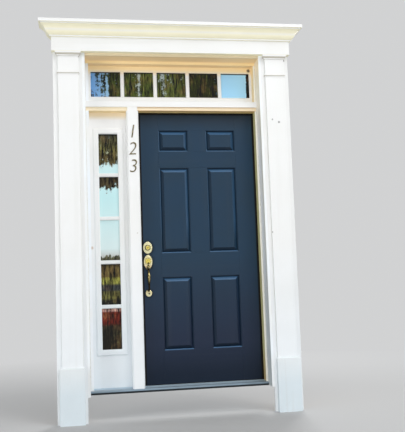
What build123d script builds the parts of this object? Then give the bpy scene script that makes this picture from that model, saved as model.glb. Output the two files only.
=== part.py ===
from build123d import *
import math
import os

# A six-panel wooden front door hung in its frame, with a sidelight, a transom and a pilastered surround.
# X runs to the right as seen from the porch, +Y runs into the house and Z is up. Y = 0 is the face of
# the wall that the surround is nailed to, Z = 0 is the porch floor and X = 0 is the middle of the
# surround. All lengths are millimetres.

# The door leaf
door_width = 914.0
door_height = 2032.0
door_thickness = 44.5
door_face_y = 152.0
door_gap = 3.0
door_rise = 15.0

# Stiles, rails and panels, between the outer lines of their mouldings
side_stile = 160.0
centre_stile = 132.0
bottom_rail = 238.0
low_panel = 544.0
lock_rail = 172.0
frieze_rail = 120.0
small_panel = 169.0
top_rail = 140.0
moulding_width = 12.0
moulding_quirk = 1.5
groove_width = 8.0
groove_depth = 12.0
tenon_relief = 1.0
panel_clearance = 0.4
field_border = 24.0
field_setback = 2.5
field_step = 1.6

# The sweep under the leaf
sweep_back = 2.5
sweep_fins = 3
sweep_front_inset = 3.0
sweep_rear_inset = 18.0
sweep_end_inset = 1.0
sweep_gap = 0.3

# The frame round the leaf, the sidelight and the transom
jamb_depth = 116.0
jamb_board = 19.0
stop_width = 13.0
side_stop_width = 24.0
seal_space = 6.0
seal_clearance = 0.3
seal_inset = 2.0
seal_round = 2.5
sidelight_width = 312.0
sidelight_thickness = 44.5
mullion_width = 88.0
casing_thickness = 12.0
casing_reveal = 7.0
edge_ease = 2.0
sill_bottom_z = 178.0
sill_thickness = 22.0
sill_upstand = 11.0
sill_fall = 9.0
sill_nose = 22.0
sill_round = 5.0
cap_height = 9.5
cap_width = 44.5
cap_bevel = 5.0
cap_round = 2.0
bar_height = 61.0
bar_reveal = 26.0
bar_wash = 4.0
transom_height = 297.0

# Sidelight and transom glass; the borders are what shows of the panel or the sash round the glass
glass_thickness = 16.0
glass_bite = 10.0
bar_width = 28.0
bar_bevel = 5.0
bar_setback = 3.0
side_border = 67.0
side_border_low = 283.0
side_border_high = 162.0
side_lites = 5
lite_frame_width = 43.0
lite_frame_height = 9.0
lite_frame_edge = 3.0
lite_frame_slope = 9.0
lite_frame_leg = 2.0
lite_bevel_depth = 5.0
lite_bevel_width = 9.0
sash_border = 18.5
sash_border_low = 50.0
sash_border_high = 42.0
sash_thickness = 38.0
sash_clearance = 2.0
sash_moulding = 7.0
sash_bar_setback = 2.0
transom_lites = 5

# The surround in front of the frame
lining_thickness = 19.0
back_board_thickness = 38.0
back_board_width = 209.0
face_board_width = 146.0
face_board_thickness = 19.0
face_board_inset = 27.0
plinth_width = 172.0
plinth_height = 386.0
plinth_thickness = 38.0
plinth_bevel = 6.0
neck_drop = 165.0
neck_height = 24.0
neck_projection = 8.0
neck_fillet = 5.0
capital_height = 31.0
capital_projection = 18.0
capital_fillet = 7.0
capital_top = 10.0
frieze_rise = 8.0
frieze_height = 103.0
frieze_overhang = 7.0
frieze_projection = 76.0
crown_height = 106.0
crown_projection = 85.0
crown_bed = 12.0
crown_bed_height = 9.0
crown_top = 23.0
crown_lip = 13.0
crown_lip_drop = 7.0
crown_swell = 5.0

# Door furniture outside
backset = 60.0
latch_rise = 866.0
bolt_spacing = 135.0
plate_thickness = 5.0
plate_round = 3.5
deadbolt_plate_width = 68.0
deadbolt_plate_height = 90.0
collar_radius = 24.0
collar_shoulder = 7.0
collar_height = 14.0
collar_top_radius = 16.0
plug_radius = 13.0
plug_proud = 0.5
keyway_width = 2.2
keyway_height = 10.0
keyway_depth = 8.0
handle_plate_width = 64.0
handle_plate_height = 104.0
handle_plate_rise = 29.0
boss_width = 42.0
boss_height = 74.0
boss_rise = 4.0
boss_lift = 6.0
boss_round = 2.5
thumb_width = 22.0
thumb_waist = 12.0
thumb_length = 46.0
thumb_thickness = 6.0
thumb_tip = 2.5
thumb_droop = 9.0
thumb_clearance = 3.0
thumb_side_gap = 1.0
thumb_pivot_depth = 4.0
thumb_pin_radius = 2.0
slot_height = 18.0
ear_width = 5.0
ear_height = 12.0
grip_reach = 50.0
grip_top_inset = 8.0
grip_end_radius = 5.5
grip_belly_radius = 12.0
grip_belly_place = 0.42
grip_belly_spread = 0.17
grip_rings = 13
rosette_drop = 201.0
rosette_width = 48.0
rosette_height = 52.0
rosette_head_radius = 6.5
rosette_head_rise = 4.0
rosette_head_round = 3.5
rosette_stem_radius = 2.9
grip_foot_rise = 13.0

# Door furniture inside
knob_rose_radius = 33.0
rose_edge = 3.0
rose_shoulder_radius = 20.0
rose_height = 10.0
rose_hub_height = 14.0
knob_hub_radius = 14.0
knob_waist_radius = 10.5
knob_neck = 28.0
knob_neck_radius = 13.0
knob_belly = 45.0
knob_radius = 27.0
knob_face_radius = 14.0
knob_reach = 62.0
spindle_radius = 4.0
turn_plate_radius = 30.0
turn_plate_edge = 4.0
turn_plate_top_radius = 13.0
turn_hub_radius = 9.0
turn_hub_height = 13.0
turn_length = 38.0
turn_depth = 20.0
turn_width = 6.0
turn_round = 2.0
tail_radius = 3.0
tail_gap = 0.5
plate_swell = 2.0

# Latch, deadbolt and strikes
cross_bore = 54.0
edge_bore = 25.4
case_radius = 12.6
case_tail = 14.0
case_wall = 2.0
hub_hole_radius = 5.0
bolt_clearance = 0.15
bolt_setback = 0.3
bolt_back_gap = 3.0
bolt_chamfer = 1.0
latch_bolt_radius = 8.0
latch_flat = 5.0
latch_throw = 12.0
deadbolt_radius = 8.5
deadbolt_throw = 25.0
faceplate_height = 57.0
faceplate_width = 25.0
faceplate_thickness = 2.5
faceplate_corner = 3.0
strike_thickness = 2.0
strike_front = 14.0
strike_clearance = 1.5
pocket_spare = 5.0
running = 0.08

# Hinges
hinge_height = 102.0
hinge_leaf = 2.5
hinge_setback = 8.0
hinge_corner = 6.0
hinge_radius = 6.5
hinge_standoff = 0.4
hinge_pin_radius = 3.2
hinge_pin_tail = 1.5
hinge_head_height = 3.5
hinge_head_inset = 0.8
hinge_head_round = 2.0
hinge_knuckles = 5
hinge_knuckle_gap = 0.3
hinge_top_drop = 178.0
hinge_bottom_rise = 254.0

# Stock and cutters run past the work by this much
overrun = 50.0

# Places across the unit that follow from the sizes above
inner_x = (sidelight_width + mullion_width - 2 * stop_width + door_width + 2 * door_gap) / 2
frame_half_width = inner_x + jamb_board
rabbet_x = inner_x
door_right_x = rabbet_x - door_gap
door_left_x = door_right_x - door_width
door_centre_x = (door_left_x + door_right_x) / 2
mullion_right_x = door_left_x - door_gap
mullion_stop_x = mullion_right_x + stop_width
mullion_left_stop_x = mullion_stop_x - mullion_width
mullion_left_x = mullion_left_stop_x + stop_width
board_middle_x = frame_half_width + back_board_width / 2
face_middle_x = frame_half_width + face_board_inset + face_board_width / 2
frieze_half_width = frame_half_width + back_board_width + frieze_overhang
lock_x = door_left_x + backset
hinge_x = (door_right_x + rabbet_x) / 2

# Places in depth
door_back_y = door_face_y + door_thickness
door_middle_y = door_face_y + door_thickness / 2
stop_back_y = door_face_y - seal_space
frame_back_y = door_back_y
frame_front_y = frame_back_y - jamb_depth
board_front_y = -back_board_thickness
face_front_y = board_front_y - face_board_thickness
plate_front_y = door_face_y - plate_thickness
hinge_y = door_back_y + hinge_radius + hinge_standoff
thumb_pivot_y = door_face_y + thumb_pivot_depth

# Places in height
sill_seat_z = sill_bottom_z + sill_thickness
door_bottom_z = sill_seat_z + door_rise
door_top_z = door_bottom_z + door_height
bar_rabbet_z = door_top_z + door_gap
bar_stop_z = bar_rabbet_z - stop_width
bar_casing_z = bar_stop_z + bar_reveal
bar_top_z = bar_rabbet_z + bar_height
head_rabbet_z = bar_top_z + transom_height
head_stop_z = head_rabbet_z - stop_width
head_top_z = head_rabbet_z + jamb_board
frieze_bottom_z = head_top_z + frieze_rise
frieze_top_z = frieze_bottom_z + frieze_height
neck_bottom_z = frieze_bottom_z - neck_drop
latch_z = door_bottom_z + latch_rise
deadbolt_z = latch_z + bolt_spacing
handle_plate_z = latch_z + handle_plate_rise
rosette_z = latch_z - rosette_drop
hinge_top_z = door_top_z - hinge_top_drop - hinge_height / 2
hinge_bottom_z = door_bottom_z + hinge_bottom_rise + hinge_height / 2
hinge_places = [hinge_bottom_z, (hinge_bottom_z + hinge_top_z) / 2, hinge_top_z]

# Panels and glass: the sides or the middle and half size of each light
side_inset = side_stile + moulding_width
centre_inset = centre_stile / 2 + moulding_width
sight_left = (door_left_x + side_inset, door_centre_x - centre_inset)
sight_right = (door_centre_x + centre_inset, door_right_x - side_inset)
low_z = door_bottom_z + bottom_rail
tall_z = low_z + low_panel + lock_rail
small_z = door_top_z - top_rail - small_panel
tall_panel = small_z - frieze_rail - tall_z
side_shown = (-inner_x + side_stop_width, mullion_left_stop_x)
side_middle_x = (side_shown[0] + side_shown[1]) / 2
side_half_x = (side_shown[1] - side_shown[0]) / 2 - side_border
side_low_z = sill_seat_z + side_border_low
side_high_z = bar_stop_z - side_border_high
side_middle_z = (side_low_z + side_high_z) / 2
side_half_z = (side_high_z - side_low_z) / 2
side_light = (side_middle_x, side_middle_z, side_half_x, side_half_z)
transom_shown = (-inner_x + side_stop_width, inner_x - stop_width)
transom_middle_x = (transom_shown[0] + transom_shown[1]) / 2
transom_half_x = (transom_shown[1] - transom_shown[0]) / 2 - sash_border
transom_low_z = bar_top_z + sash_border_low
transom_high_z = head_stop_z - sash_border_high
transom_middle_z = (transom_low_z + transom_high_z) / 2
transom_half_z = (transom_high_z - transom_low_z) / 2
transom_light = (transom_middle_x, transom_middle_z, transom_half_x, transom_half_z)


def block(x0, x1, y0, y1, z0, z1):
    """A box given by its two corners."""
    return Pos((x0 + x1) / 2, (y0 + y1) / 2, (z0 + z1) / 2) * Box(x1 - x0, y1 - y0, z1 - z0)


def along_x(points, x0, x1):
    """An outline in Y and Z carried along X."""
    face = make_face(Polyline(*[(x0, y, z) for y, z in points], close=True))
    return extrude(face, amount=x1 - x0, dir=(1, 0, 0))


def along_z(points, z0, z1):
    """An outline in X and Y carried along Z."""
    face = make_face(Polyline(*[(x, y, z0) for x, y in points], close=True))
    return extrude(face, amount=z1 - z0, dir=(0, 0, 1))


def rod_x(y, z, radius, x0, x1):
    """A round bar along X."""
    return Pos((x0 + x1) / 2, y, z) * Rot(0, 90, 0) * Cylinder(radius, x1 - x0)


def rod_y(x, z, radius, y0, y1):
    """A round bar along Y."""
    return Pos(x, (y0 + y1) / 2, z) * Rot(90, 0, 0) * Cylinder(radius, y1 - y0)


def rod_z(x, y, radius, z0, z1):
    """A round bar along Z."""
    return Pos(x, y, (z0 + z1) / 2) * Cylinder(radius, z1 - z0)


def both_sides(points):
    """A closed outline that is the same on both sides of its middle."""
    return points + [(-u, y) for u, y in reversed(points)]


def crossed(section, middle_x, middle_z, half_x, half_z):
    """A flat piece whose edge outline, given by section(half), is mitred round a rectangle."""
    wide = half_x + 2 * overrun
    tall = half_z + 2 * overrun
    across = along_z([(middle_x + u, y) for u, y in section(half_x)], middle_z - tall, middle_z + tall)
    upright = along_x([(y, middle_z + u) for u, y in section(half_z)], middle_x - wide, middle_x + wide)
    return across & upright


def eased(board, axis=Axis.Z):
    """Takes the sharpness off the front edges of a board that run along an axis."""
    return fillet(board.edges().filter_by(axis).group_by(Axis.Y)[0], edge_ease)


def mirrored(shape):
    """The same piece on the other side of the middle."""
    return mirror(shape, about=Plane.YZ)


# Stiles, rails and panels of the leaf

def ovolo_waste(face_y, inward):
    """What the cutter takes off one face beside an edge: a quirk and a quarter round, in the XY plane."""
    quirk_y = face_y + inward * moulding_quirk
    lip_y = quirk_y + inward * moulding_width
    bulge = moulding_width * (1 - math.sqrt(0.5))
    outline = [
        Polyline((0, lip_y), (0, face_y), (moulding_width, face_y), (moulding_width, quirk_y)),
        ThreePointArc((moulding_width, quirk_y), (bulge, quirk_y + inward * bulge), (0, lip_y)),
    ]
    return make_face(outline)


def edge_waste(into, edge, low, high):
    """Moulding and panel groove cut along a straight edge. into points from the edge into the wood."""
    into = Vector(*into)
    along = into.cross(Vector(0, 1, 0))
    start = low if along.X + along.Z > 0 else high
    origin = (edge, 0, start) if abs(into.X) > 0 else (start, 0, edge)
    plane = Plane(origin=origin, x_dir=into, z_dir=along)
    groove = Pos(groove_depth / 2, door_middle_y) * Rectangle(groove_depth, groove_width)
    section = ovolo_waste(door_face_y, 1) + ovolo_waste(door_back_y, -1) + groove
    return extrude(plane * section, amount=high - low)


def leaf_block(x0, x1, z0, z1):
    """A bar as thick as the leaf."""
    return block(x0, x1, door_face_y, door_back_y, z0, z1)


def side_stiles():
    """The two long stiles, moulded and grooved on their inner edges."""
    left_edge = sight_left[0]
    right_edge = sight_right[1]
    left = leaf_block(door_left_x, left_edge, door_bottom_z, door_top_z)
    left -= edge_waste((-1, 0, 0), left_edge, door_bottom_z, door_top_z)
    right = leaf_block(right_edge, door_right_x, door_bottom_z, door_top_z)
    right -= edge_waste((1, 0, 0), right_edge, door_bottom_z, door_top_z)
    return left, right


def rail(low, high, under, over, stiles):
    """A cross rail with a stub tenon at each end, coped over the mouldings of the stiles."""
    x0 = sight_left[0] - groove_depth + tenon_relief
    x1 = sight_right[1] + groove_depth - tenon_relief
    low = low - moulding_width if under else low
    high = high + moulding_width if over else high
    bar = leaf_block(x0, x1, low, high)
    if under:
        bar -= edge_waste((0, 0, 1), low, x0, x1)
    if over:
        bar -= edge_waste((0, 0, -1), high, x0, x1)
    return bar - stiles[0] - stiles[1]


def middle_stile(low, height, rails):
    """A short upright between two rails, coped and tenoned into both."""
    z0 = low + moulding_width - groove_depth + tenon_relief
    z1 = low + height - moulding_width + groove_depth - tenon_relief
    x0 = sight_left[1]
    x1 = sight_right[0]
    bar = leaf_block(x0, x1, z0, z1)
    bar -= edge_waste((1, 0, 0), x0, z0, z1)
    bar -= edge_waste((-1, 0, 0), x1, z0, z1)
    return bar - rails[0] - rails[1]


def panel_outline(half_sight):
    """Outline of a raised panel across its width or its height, about its own middle."""
    tongue = half_sight + groove_depth - tenon_relief
    bevel = half_sight - panel_clearance
    field = half_sight - field_border
    thin = groove_width / 2 - panel_clearance / 2
    thick = door_thickness / 2 - field_setback
    quarter = [(field, thick), (field, thick - field_step), (bevel, thin), (tongue, thin)]
    front = [(u, door_middle_y - t) for u, t in quarter]
    back = [(u, door_middle_y + t) for u, t in reversed(quarter)]
    return both_sides(front + back)


def raised_panel(sight, low, height):
    """A panel raised on both faces, its bevels mitred at the corners, held by its tongue."""
    half_x = (sight[1] - sight[0]) / 2
    half_z = height / 2 - moulding_width
    middle_x = (sight[0] + sight[1]) / 2
    middle_z = low + height / 2
    return crossed(panel_outline, middle_x, middle_z, half_x, half_z)


def faceplate(z, front_x):
    """A bolt's plate from front_x to the floor of its recess in the edge of the leaf."""
    half_y = faceplate_width / 2
    half_z = faceplate_height / 2
    plate = block(front_x, door_left_x + faceplate_thickness,
                  door_middle_y - half_y, door_middle_y + half_y, z - half_z, z + half_z)
    return fillet(plate.edges().filter_by(Axis.X), faceplate_corner)


def lock_stile_bores(stile):
    """Bores for the latch and the deadbolt, with the recesses for their faceplates."""
    for z in (latch_z, deadbolt_z):
        stile -= rod_y(lock_x, z, cross_bore / 2, door_face_y - overrun, door_back_y + overrun)
        stile -= rod_x(door_middle_y, z, edge_bore / 2, door_left_x - overrun, lock_x)
        stile -= faceplate(z, door_left_x - overrun)
    hole = rosette_stem_radius + running
    return stile - rod_y(lock_x, rosette_z, hole, door_face_y - overrun, door_back_y + overrun)


def door_sweep():
    """The finned rubber strip under the leaf."""
    y0 = door_face_y + sweep_front_inset
    y1 = door_back_y - sweep_rear_inset
    x0 = door_left_x + sweep_end_inset
    x1 = door_right_x - sweep_end_inset
    low = sill_seat_z + cap_height + sweep_gap
    strip = block(x0, x1, y0, y1, door_bottom_z - sweep_back, door_bottom_z)
    fin = (y1 - y0) / (2 * sweep_fins - 1)
    for i in range(sweep_fins):
        strip += block(x0, x1, y0 + 2 * i * fin, y0 + (2 * i + 1) * fin, low, door_bottom_z - sweep_back)
    return strip


# Hinges

def knuckles(z, own):
    """Low and high ends of the knuckles that belong to the frame (own = 0) or to the leaf (own = 1)."""
    pitch = hinge_height / hinge_knuckles
    low = z - hinge_height / 2
    half_gap = hinge_knuckle_gap / 2
    feet = [low + i * pitch for i in range(own, hinge_knuckles, 2)]
    return [(foot + half_gap, foot + pitch - half_gap) for foot in feet]


def hinge_flat(z, side):
    """The flat part of one hinge plate: side is +1 on the jamb and -1 on the leaf."""
    edge = rabbet_x if side > 0 else door_right_x
    x0, x1 = sorted((edge, edge + side * hinge_leaf))
    half = hinge_height / 2
    flat = block(x0, x1, door_face_y + hinge_setback, door_back_y, z - half, z + half)
    return fillet(flat.edges().filter_by(Axis.X).group_by(Axis.Y)[0], hinge_corner)


def hinge_plate(z, side, own):
    """One plate of a butt hinge with its knuckles."""
    edge = rabbet_x if side > 0 else door_right_x
    x0, x1 = sorted((edge, edge + side * hinge_leaf))
    plate = hinge_flat(z, side)
    for z0, z1 in knuckles(z, own):
        plate += rod_z(hinge_x, hinge_y, hinge_radius, z0, z1)
        plate += block(x0, x1, door_back_y, hinge_y, z0, z1)
    reach = hinge_height / 2 + overrun
    return plate - rod_z(hinge_x, hinge_y, hinge_pin_radius + running, z - reach, z + reach)


def hinge_pin(z):
    """A loose pin with a button head."""
    low = z - hinge_height / 2 - hinge_pin_tail
    high = z + hinge_height / 2
    head = rod_z(hinge_x, hinge_y, hinge_radius - hinge_head_inset, high, high + hinge_head_height)
    head = fillet(head.edges().filter_by(GeomType.CIRCLE).sort_by(Axis.Z)[-1], hinge_head_round)
    return rod_z(hinge_x, hinge_y, hinge_pin_radius, low, high) + head


# Shapes that the door furniture shares

def oval(width, height, x, z, y0, y1, edge_round):
    """An oval plate standing on a face behind it, with its front edge rounded."""
    face = Pos(x, y1, z) * Rot(90, 0, 0) * Ellipse(width / 2, height / 2)
    plate = extrude(face, amount=y1 - y0, dir=(0, -1, 0))
    return fillet(plate.edges().sort_by(Axis.Y)[0], edge_round)


def turned(outline, x, z, face_y, toward):
    """A turned piece on a face of the leaf: outline gives radius and height, from the face outwards."""
    foot = outline[0] @ 0
    top = outline[-1] @ 1
    closing = Polyline((top.X, top.Y), (0, top.Y), (0, foot.Y), (foot.X, foot.Y))
    solid = revolve(make_face([*outline, closing]), axis=Axis.Y, revolution_arc=360)
    if toward < 0:
        solid = mirror(solid, about=Plane.XZ)
    return Pos(x, face_y, z) * solid


def shoulder(outer, low, inner, high, swell):
    """A convex shoulder from a radius and height to a smaller radius higher up."""
    fall = math.hypot(outer - inner, high - low)
    middle_r = (outer + inner) / 2 + swell * (high - low) / fall
    middle_h = (low + high) / 2 + swell * (outer - inner) / fall
    return ThreePointArc((outer, low), (middle_r, middle_h), (inner, high))


# Door furniture outside

def deadbolt_collar():
    """The oval plate of the deadbolt with the raised ring round its key plug."""
    plate = oval(deadbolt_plate_width, deadbolt_plate_height, lock_x, deadbolt_z,
                 plate_front_y, door_face_y, plate_round)
    ring = turned(
        [Line((collar_radius, 0), (collar_radius, collar_shoulder)),
         shoulder(collar_radius, collar_shoulder, collar_top_radius, collar_height, plate_swell)],
        lock_x, deadbolt_z, door_face_y, -1)
    bore = rod_y(lock_x, deadbolt_z, plug_radius + running, door_face_y - overrun, door_back_y)
    return plate + ring - bore


def key_plug():
    """The cylinder plug with its keyway and the round tail that reaches the bolt."""
    front = door_face_y - collar_height - plug_proud
    plug = rod_y(lock_x, deadbolt_z, plug_radius, front, door_face_y)
    half = keyway_width / 2
    keyway = block(lock_x - half, lock_x + half, front - overrun, front + keyway_depth,
                   deadbolt_z - keyway_height / 2, deadbolt_z + keyway_height / 2)
    tail = rod_y(lock_x, deadbolt_z, tail_radius, door_face_y, door_middle_y - tail_gap)
    return plug - keyway + tail


def handle_plate():
    """The oval escutcheon above the grip, with its boss, the slot for the thumb piece and its two ears."""
    plate = oval(handle_plate_width, handle_plate_height, lock_x, handle_plate_z,
                 plate_front_y, door_face_y, plate_round)
    plate += oval(boss_width, boss_height, lock_x, handle_plate_z + boss_lift,
                  plate_front_y - boss_rise, plate_front_y, boss_round)
    half_slot = thumb_waist / 2 + thumb_side_gap
    plate -= block(lock_x - half_slot, lock_x + half_slot, door_face_y - overrun, door_face_y,
                   latch_z - slot_height / 2, latch_z + slot_height / 2)
    for side in (-1, 1):
        x0, x1 = sorted((lock_x + side * half_slot, lock_x + side * (half_slot + ear_width)))
        plate += block(x0, x1, door_face_y, door_face_y + 2 * thumb_pivot_depth,
                       latch_z - ear_height / 2, latch_z + ear_height / 2)
    hole = thumb_pin_radius + running
    return plate - rod_x(thumb_pivot_y, latch_z, hole, lock_x - overrun, lock_x + overrun)


def thumb_piece():
    """The lever pressed by the thumb, held down here as when the door is being opened: a curved bar that
    swells into an oval pad, with its pin."""
    tail_y = thumb_pivot_y + thumb_pivot_depth
    neck_y = plate_front_y - boss_rise - thumb_clearance
    tip_y = plate_front_y - thumb_length
    pad_y = (neck_y + tip_y) / 2
    half = thumb_thickness / 2
    x = lock_x - thumb_width / 2

    def curve(at_neck, at_tip):
        """Points of a surface that drops with the square of its distance from the neck."""
        drop = at_tip - at_neck
        shares = (0, 0.5, 1)
        return [(x, neck_y + (tip_y - neck_y) * s, latch_z + at_neck + drop * s * s) for s in shares]

    upper = curve(half, -thumb_droop)
    lower = curve(-half, -thumb_droop - thumb_tip)
    side = make_face([
        Spline(*upper),
        Line(upper[-1], lower[-1]),
        Spline(*lower),
        Polyline(lower[0], (x, tail_y, latch_z - half), (x, tail_y, latch_z + half), upper[0]),
    ])
    plan = Pos(lock_x, pad_y) * Ellipse(thumb_width / 2, (neck_y - tip_y) / 2)
    plan += Pos(lock_x, (pad_y + tail_y) / 2) * Rectangle(thumb_waist, tail_y - pad_y)
    cutter = Pos(0, 0, latch_z - overrun) * extrude(plan, amount=2 * overrun, dir=(0, 0, 1))
    lever = extrude(side, amount=thumb_width, dir=(1, 0, 0)) & cutter
    reach = thumb_waist / 2 + thumb_side_gap + ear_width
    return lever + rod_x(thumb_pivot_y, latch_z, thumb_pin_radius, lock_x - reach, lock_x + reach)


def grip():
    """The baluster grip: a bar that swells at its middle, bowed out from the plate to the rosette."""
    top_z = handle_plate_z - handle_plate_height / 2 + grip_top_inset
    foot_z = rosette_z + grip_foot_rise
    drop = top_z - foot_z
    front_y = door_face_y - grip_reach
    root_y = plate_front_y + grip_end_radius
    places = [(root_y, 0), (front_y, 1 / 3), (front_y, 2 / 3), (root_y, 1)]
    points = [(lock_x, y, top_z - share * drop) for y, share in places]
    path = Spline(*points, tangents=((0, -1, -0.1), (0, 1, -0.1)))
    rings = []
    for i in range(grip_rings):
        share = i / (grip_rings - 1)
        bell = math.exp(-((share - grip_belly_place) / grip_belly_spread) ** 2)
        radius = grip_end_radius + (grip_belly_radius - grip_end_radius) * bell
        rings.append(Plane(origin=path @ share, x_dir=(1, 0, 0), z_dir=path % share) * Circle(radius))
    behind = block(lock_x - overrun, lock_x + overrun, plate_front_y, door_back_y,
                   foot_z - overrun, top_z + overrun)
    return loft(rings) - behind


def lower_rosette():
    """The small oval rosette at the foot of the grip with its domed through screw."""
    disc = oval(rosette_width, rosette_height, lock_x, rosette_z, plate_front_y, door_face_y, plate_round)
    head = rod_y(lock_x, rosette_z, rosette_head_radius, plate_front_y - rosette_head_rise, plate_front_y)
    head = fillet(head.edges().filter_by(GeomType.CIRCLE).sort_by(Axis.Y)[0], rosette_head_round)
    return disc + head + rod_y(lock_x, rosette_z, rosette_stem_radius, door_face_y, door_back_y)


# Door furniture inside

def knob_rose():
    """The domed round rose inside that the knob turns in."""
    rose = turned(
        [Line((knob_rose_radius, 0), (knob_rose_radius, rose_edge)),
         shoulder(knob_rose_radius, rose_edge, rose_shoulder_radius, rose_height, plate_swell),
         Line((rose_shoulder_radius, rose_height), (rose_shoulder_radius, rose_hub_height))],
        lock_x, latch_z, door_back_y, 1)
    return rose - rod_y(lock_x, latch_z, knob_hub_radius + running, door_middle_y, door_back_y + overrun)


def inside_knob():
    """The turned knob with its waist and its spindle."""
    hub_end = (knob_hub_radius, rose_hub_height)
    waist = (knob_waist_radius, (rose_hub_height + knob_neck) / 2)
    neck = (knob_neck_radius, knob_neck)
    outline = [
        Line((knob_hub_radius, tail_gap), hub_end),
        ThreePointArc(hub_end, waist, neck),
        ThreePointArc(neck, (knob_radius, knob_belly), (knob_face_radius, knob_reach)),
    ]
    knob = turned(outline, lock_x, latch_z, door_back_y, 1)
    return knob + rod_y(lock_x, latch_z, spindle_radius, door_middle_y, door_back_y + tail_gap)


def turn_plate():
    """The domed round plate under the thumb turn."""
    plate = turned(
        [Line((turn_plate_radius, 0), (turn_plate_radius, turn_plate_edge)),
         shoulder(turn_plate_radius, turn_plate_edge, turn_plate_top_radius, rose_height, plate_swell)],
        lock_x, deadbolt_z, door_back_y, 1)
    hole = turn_hub_radius + running
    return plate - rod_y(lock_x, deadbolt_z, hole, door_middle_y, door_back_y + overrun)


def thumb_turn():
    """The turn that throws the deadbolt, upright when the bolt is drawn back."""
    hub_end = door_back_y + turn_hub_height
    hub = rod_y(lock_x, deadbolt_z, turn_hub_radius, door_back_y + tail_gap, hub_end)
    middle_y = hub_end + turn_depth / 2 - turn_round
    place = Pos(lock_x - turn_width / 2, middle_y, deadbolt_z) * Rot(0, 90, 0)
    paddle = extrude(place * SlotOverall(turn_length, turn_depth), amount=turn_width, dir=(1, 0, 0))
    paddle = fillet(paddle.faces().filter_by(Axis.X).edges(), turn_round)
    tail = rod_y(lock_x, deadbolt_z, tail_radius, door_middle_y + tail_gap, door_back_y + tail_gap)
    return hub + paddle + tail


# Latch, deadbolt and strikes

def bolt_case(z, bolt_radius):
    """The round case of a bolt with the faceplate that is let into the edge of the leaf."""
    end = lock_x + case_tail
    tube = rod_x(door_middle_y, z, case_radius, door_left_x + faceplate_thickness, end)
    hollow = rod_x(door_middle_y, z, bolt_radius + bolt_clearance, door_left_x - overrun, end - case_wall)
    hub = rod_y(lock_x, z, hub_hole_radius, door_face_y, door_back_y)
    return tube + faceplate(z, door_left_x) - hollow - hub


def bolt_rod(z, radius):
    """The round body of a bolt drawn back flush with its faceplate."""
    end = lock_x - hub_hole_radius - bolt_back_gap
    return rod_x(door_middle_y, z, radius, door_left_x + bolt_setback, end)


def latch_bolt():
    """The latch bolt, bevelled on the side that meets the strike when the door closes."""
    tip = door_left_x + bolt_setback
    low = door_middle_y - latch_bolt_radius
    high = door_middle_y + latch_bolt_radius - latch_flat
    slope = (high - low) / latch_throw
    bevel = along_z([(tip - overrun, low - overrun), (tip + latch_throw + overrun / slope, low - overrun),
                     (tip + latch_throw, low), (tip, high), (tip - overrun, high)],
                    latch_z - overrun, latch_z + overrun)
    return bolt_rod(latch_z, latch_bolt_radius) - bevel


def deadbolt():
    """The deadbolt with its front edge chamfered."""
    bolt = bolt_rod(deadbolt_z, deadbolt_radius)
    return chamfer(bolt.edges().filter_by(GeomType.CIRCLE).sort_by(Axis.X)[0], bolt_chamfer)


def strike_seat(z):
    """The space that a strike plate fills in the rabbet of the mullion."""
    half = faceplate_height / 2
    return block(mullion_right_x - strike_thickness, mullion_right_x,
                 door_middle_y - strike_front, frame_back_y, z - half, z + half)


def bolt_pocket(z, bolt_radius, depth):
    """The hole through the strike and into the mullion that a bolt enters."""
    half = bolt_radius + strike_clearance
    return block(mullion_right_x - depth, mullion_right_x + overrun,
                 door_middle_y - half, door_middle_y + half, z - half, z + half)


def strike(z, bolt_radius):
    """A strike plate flush in the rabbet of the mullion."""
    return strike_seat(z) - bolt_pocket(z, bolt_radius, strike_thickness)


# The frame

def sill():
    """The sloped sill, its rounded nose carried past the frame between the reveal linings."""
    nose_y = frame_front_y - sill_nose
    top = sill_seat_z + sill_upstand
    outline = [
        (nose_y, sill_bottom_z), (nose_y, top - sill_fall), (stop_back_y, top),
        (stop_back_y, sill_seat_z), (frame_back_y, sill_seat_z), (frame_back_y, sill_bottom_z),
    ]
    board = along_x(outline, -frame_half_width, frame_half_width)
    nose = board.edges().filter_by(Axis.X).group_by(Axis.Y)[0].sort_by(Axis.Z)[-1]
    return fillet(nose, sill_round)


def threshold_cap():
    """The cap under the leaf that the sweep brushes, bevelled towards the room."""
    cap = block(mullion_right_x, rabbet_x, stop_back_y, stop_back_y + cap_width,
                sill_seat_z, sill_seat_z + cap_height)
    top = cap.edges().filter_by(Axis.X).group_by(Axis.Z)[-1].sort_by(Axis.Y)
    cap = chamfer(top[-1], cap_bevel)
    front = cap.edges().filter_by(Axis.X).group_by(Axis.Z)[-1].sort_by(Axis.Y)[0]
    return fillet(front, cap_round)


def jamb_outline(side, stop):
    """Plan of a side jamb: the board and the stop in front of the rabbet."""
    face = side * inner_x
    nose = face - side * stop
    out = side * frame_half_width
    return [(nose, frame_front_y), (out, frame_front_y), (out, frame_back_y), (face, frame_back_y),
            (face, stop_back_y), (nose, stop_back_y)]


def mullion():
    """The post between the door and the sidelight with the flat casing over its front."""
    outline = [
        (mullion_left_stop_x, frame_front_y), (mullion_stop_x, frame_front_y),
        (mullion_stop_x, stop_back_y), (mullion_right_x, stop_back_y),
        (mullion_right_x, frame_back_y), (mullion_left_x, frame_back_y),
        (mullion_left_x, stop_back_y), (mullion_left_stop_x, stop_back_y),
    ]
    casing = block(mullion_left_stop_x + casing_reveal, mullion_stop_x - casing_reveal,
                   frame_front_y - casing_thickness, frame_front_y, sill_bottom_z, bar_casing_z)
    return along_z(outline, sill_bottom_z, bar_top_z) + eased(casing)


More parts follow.
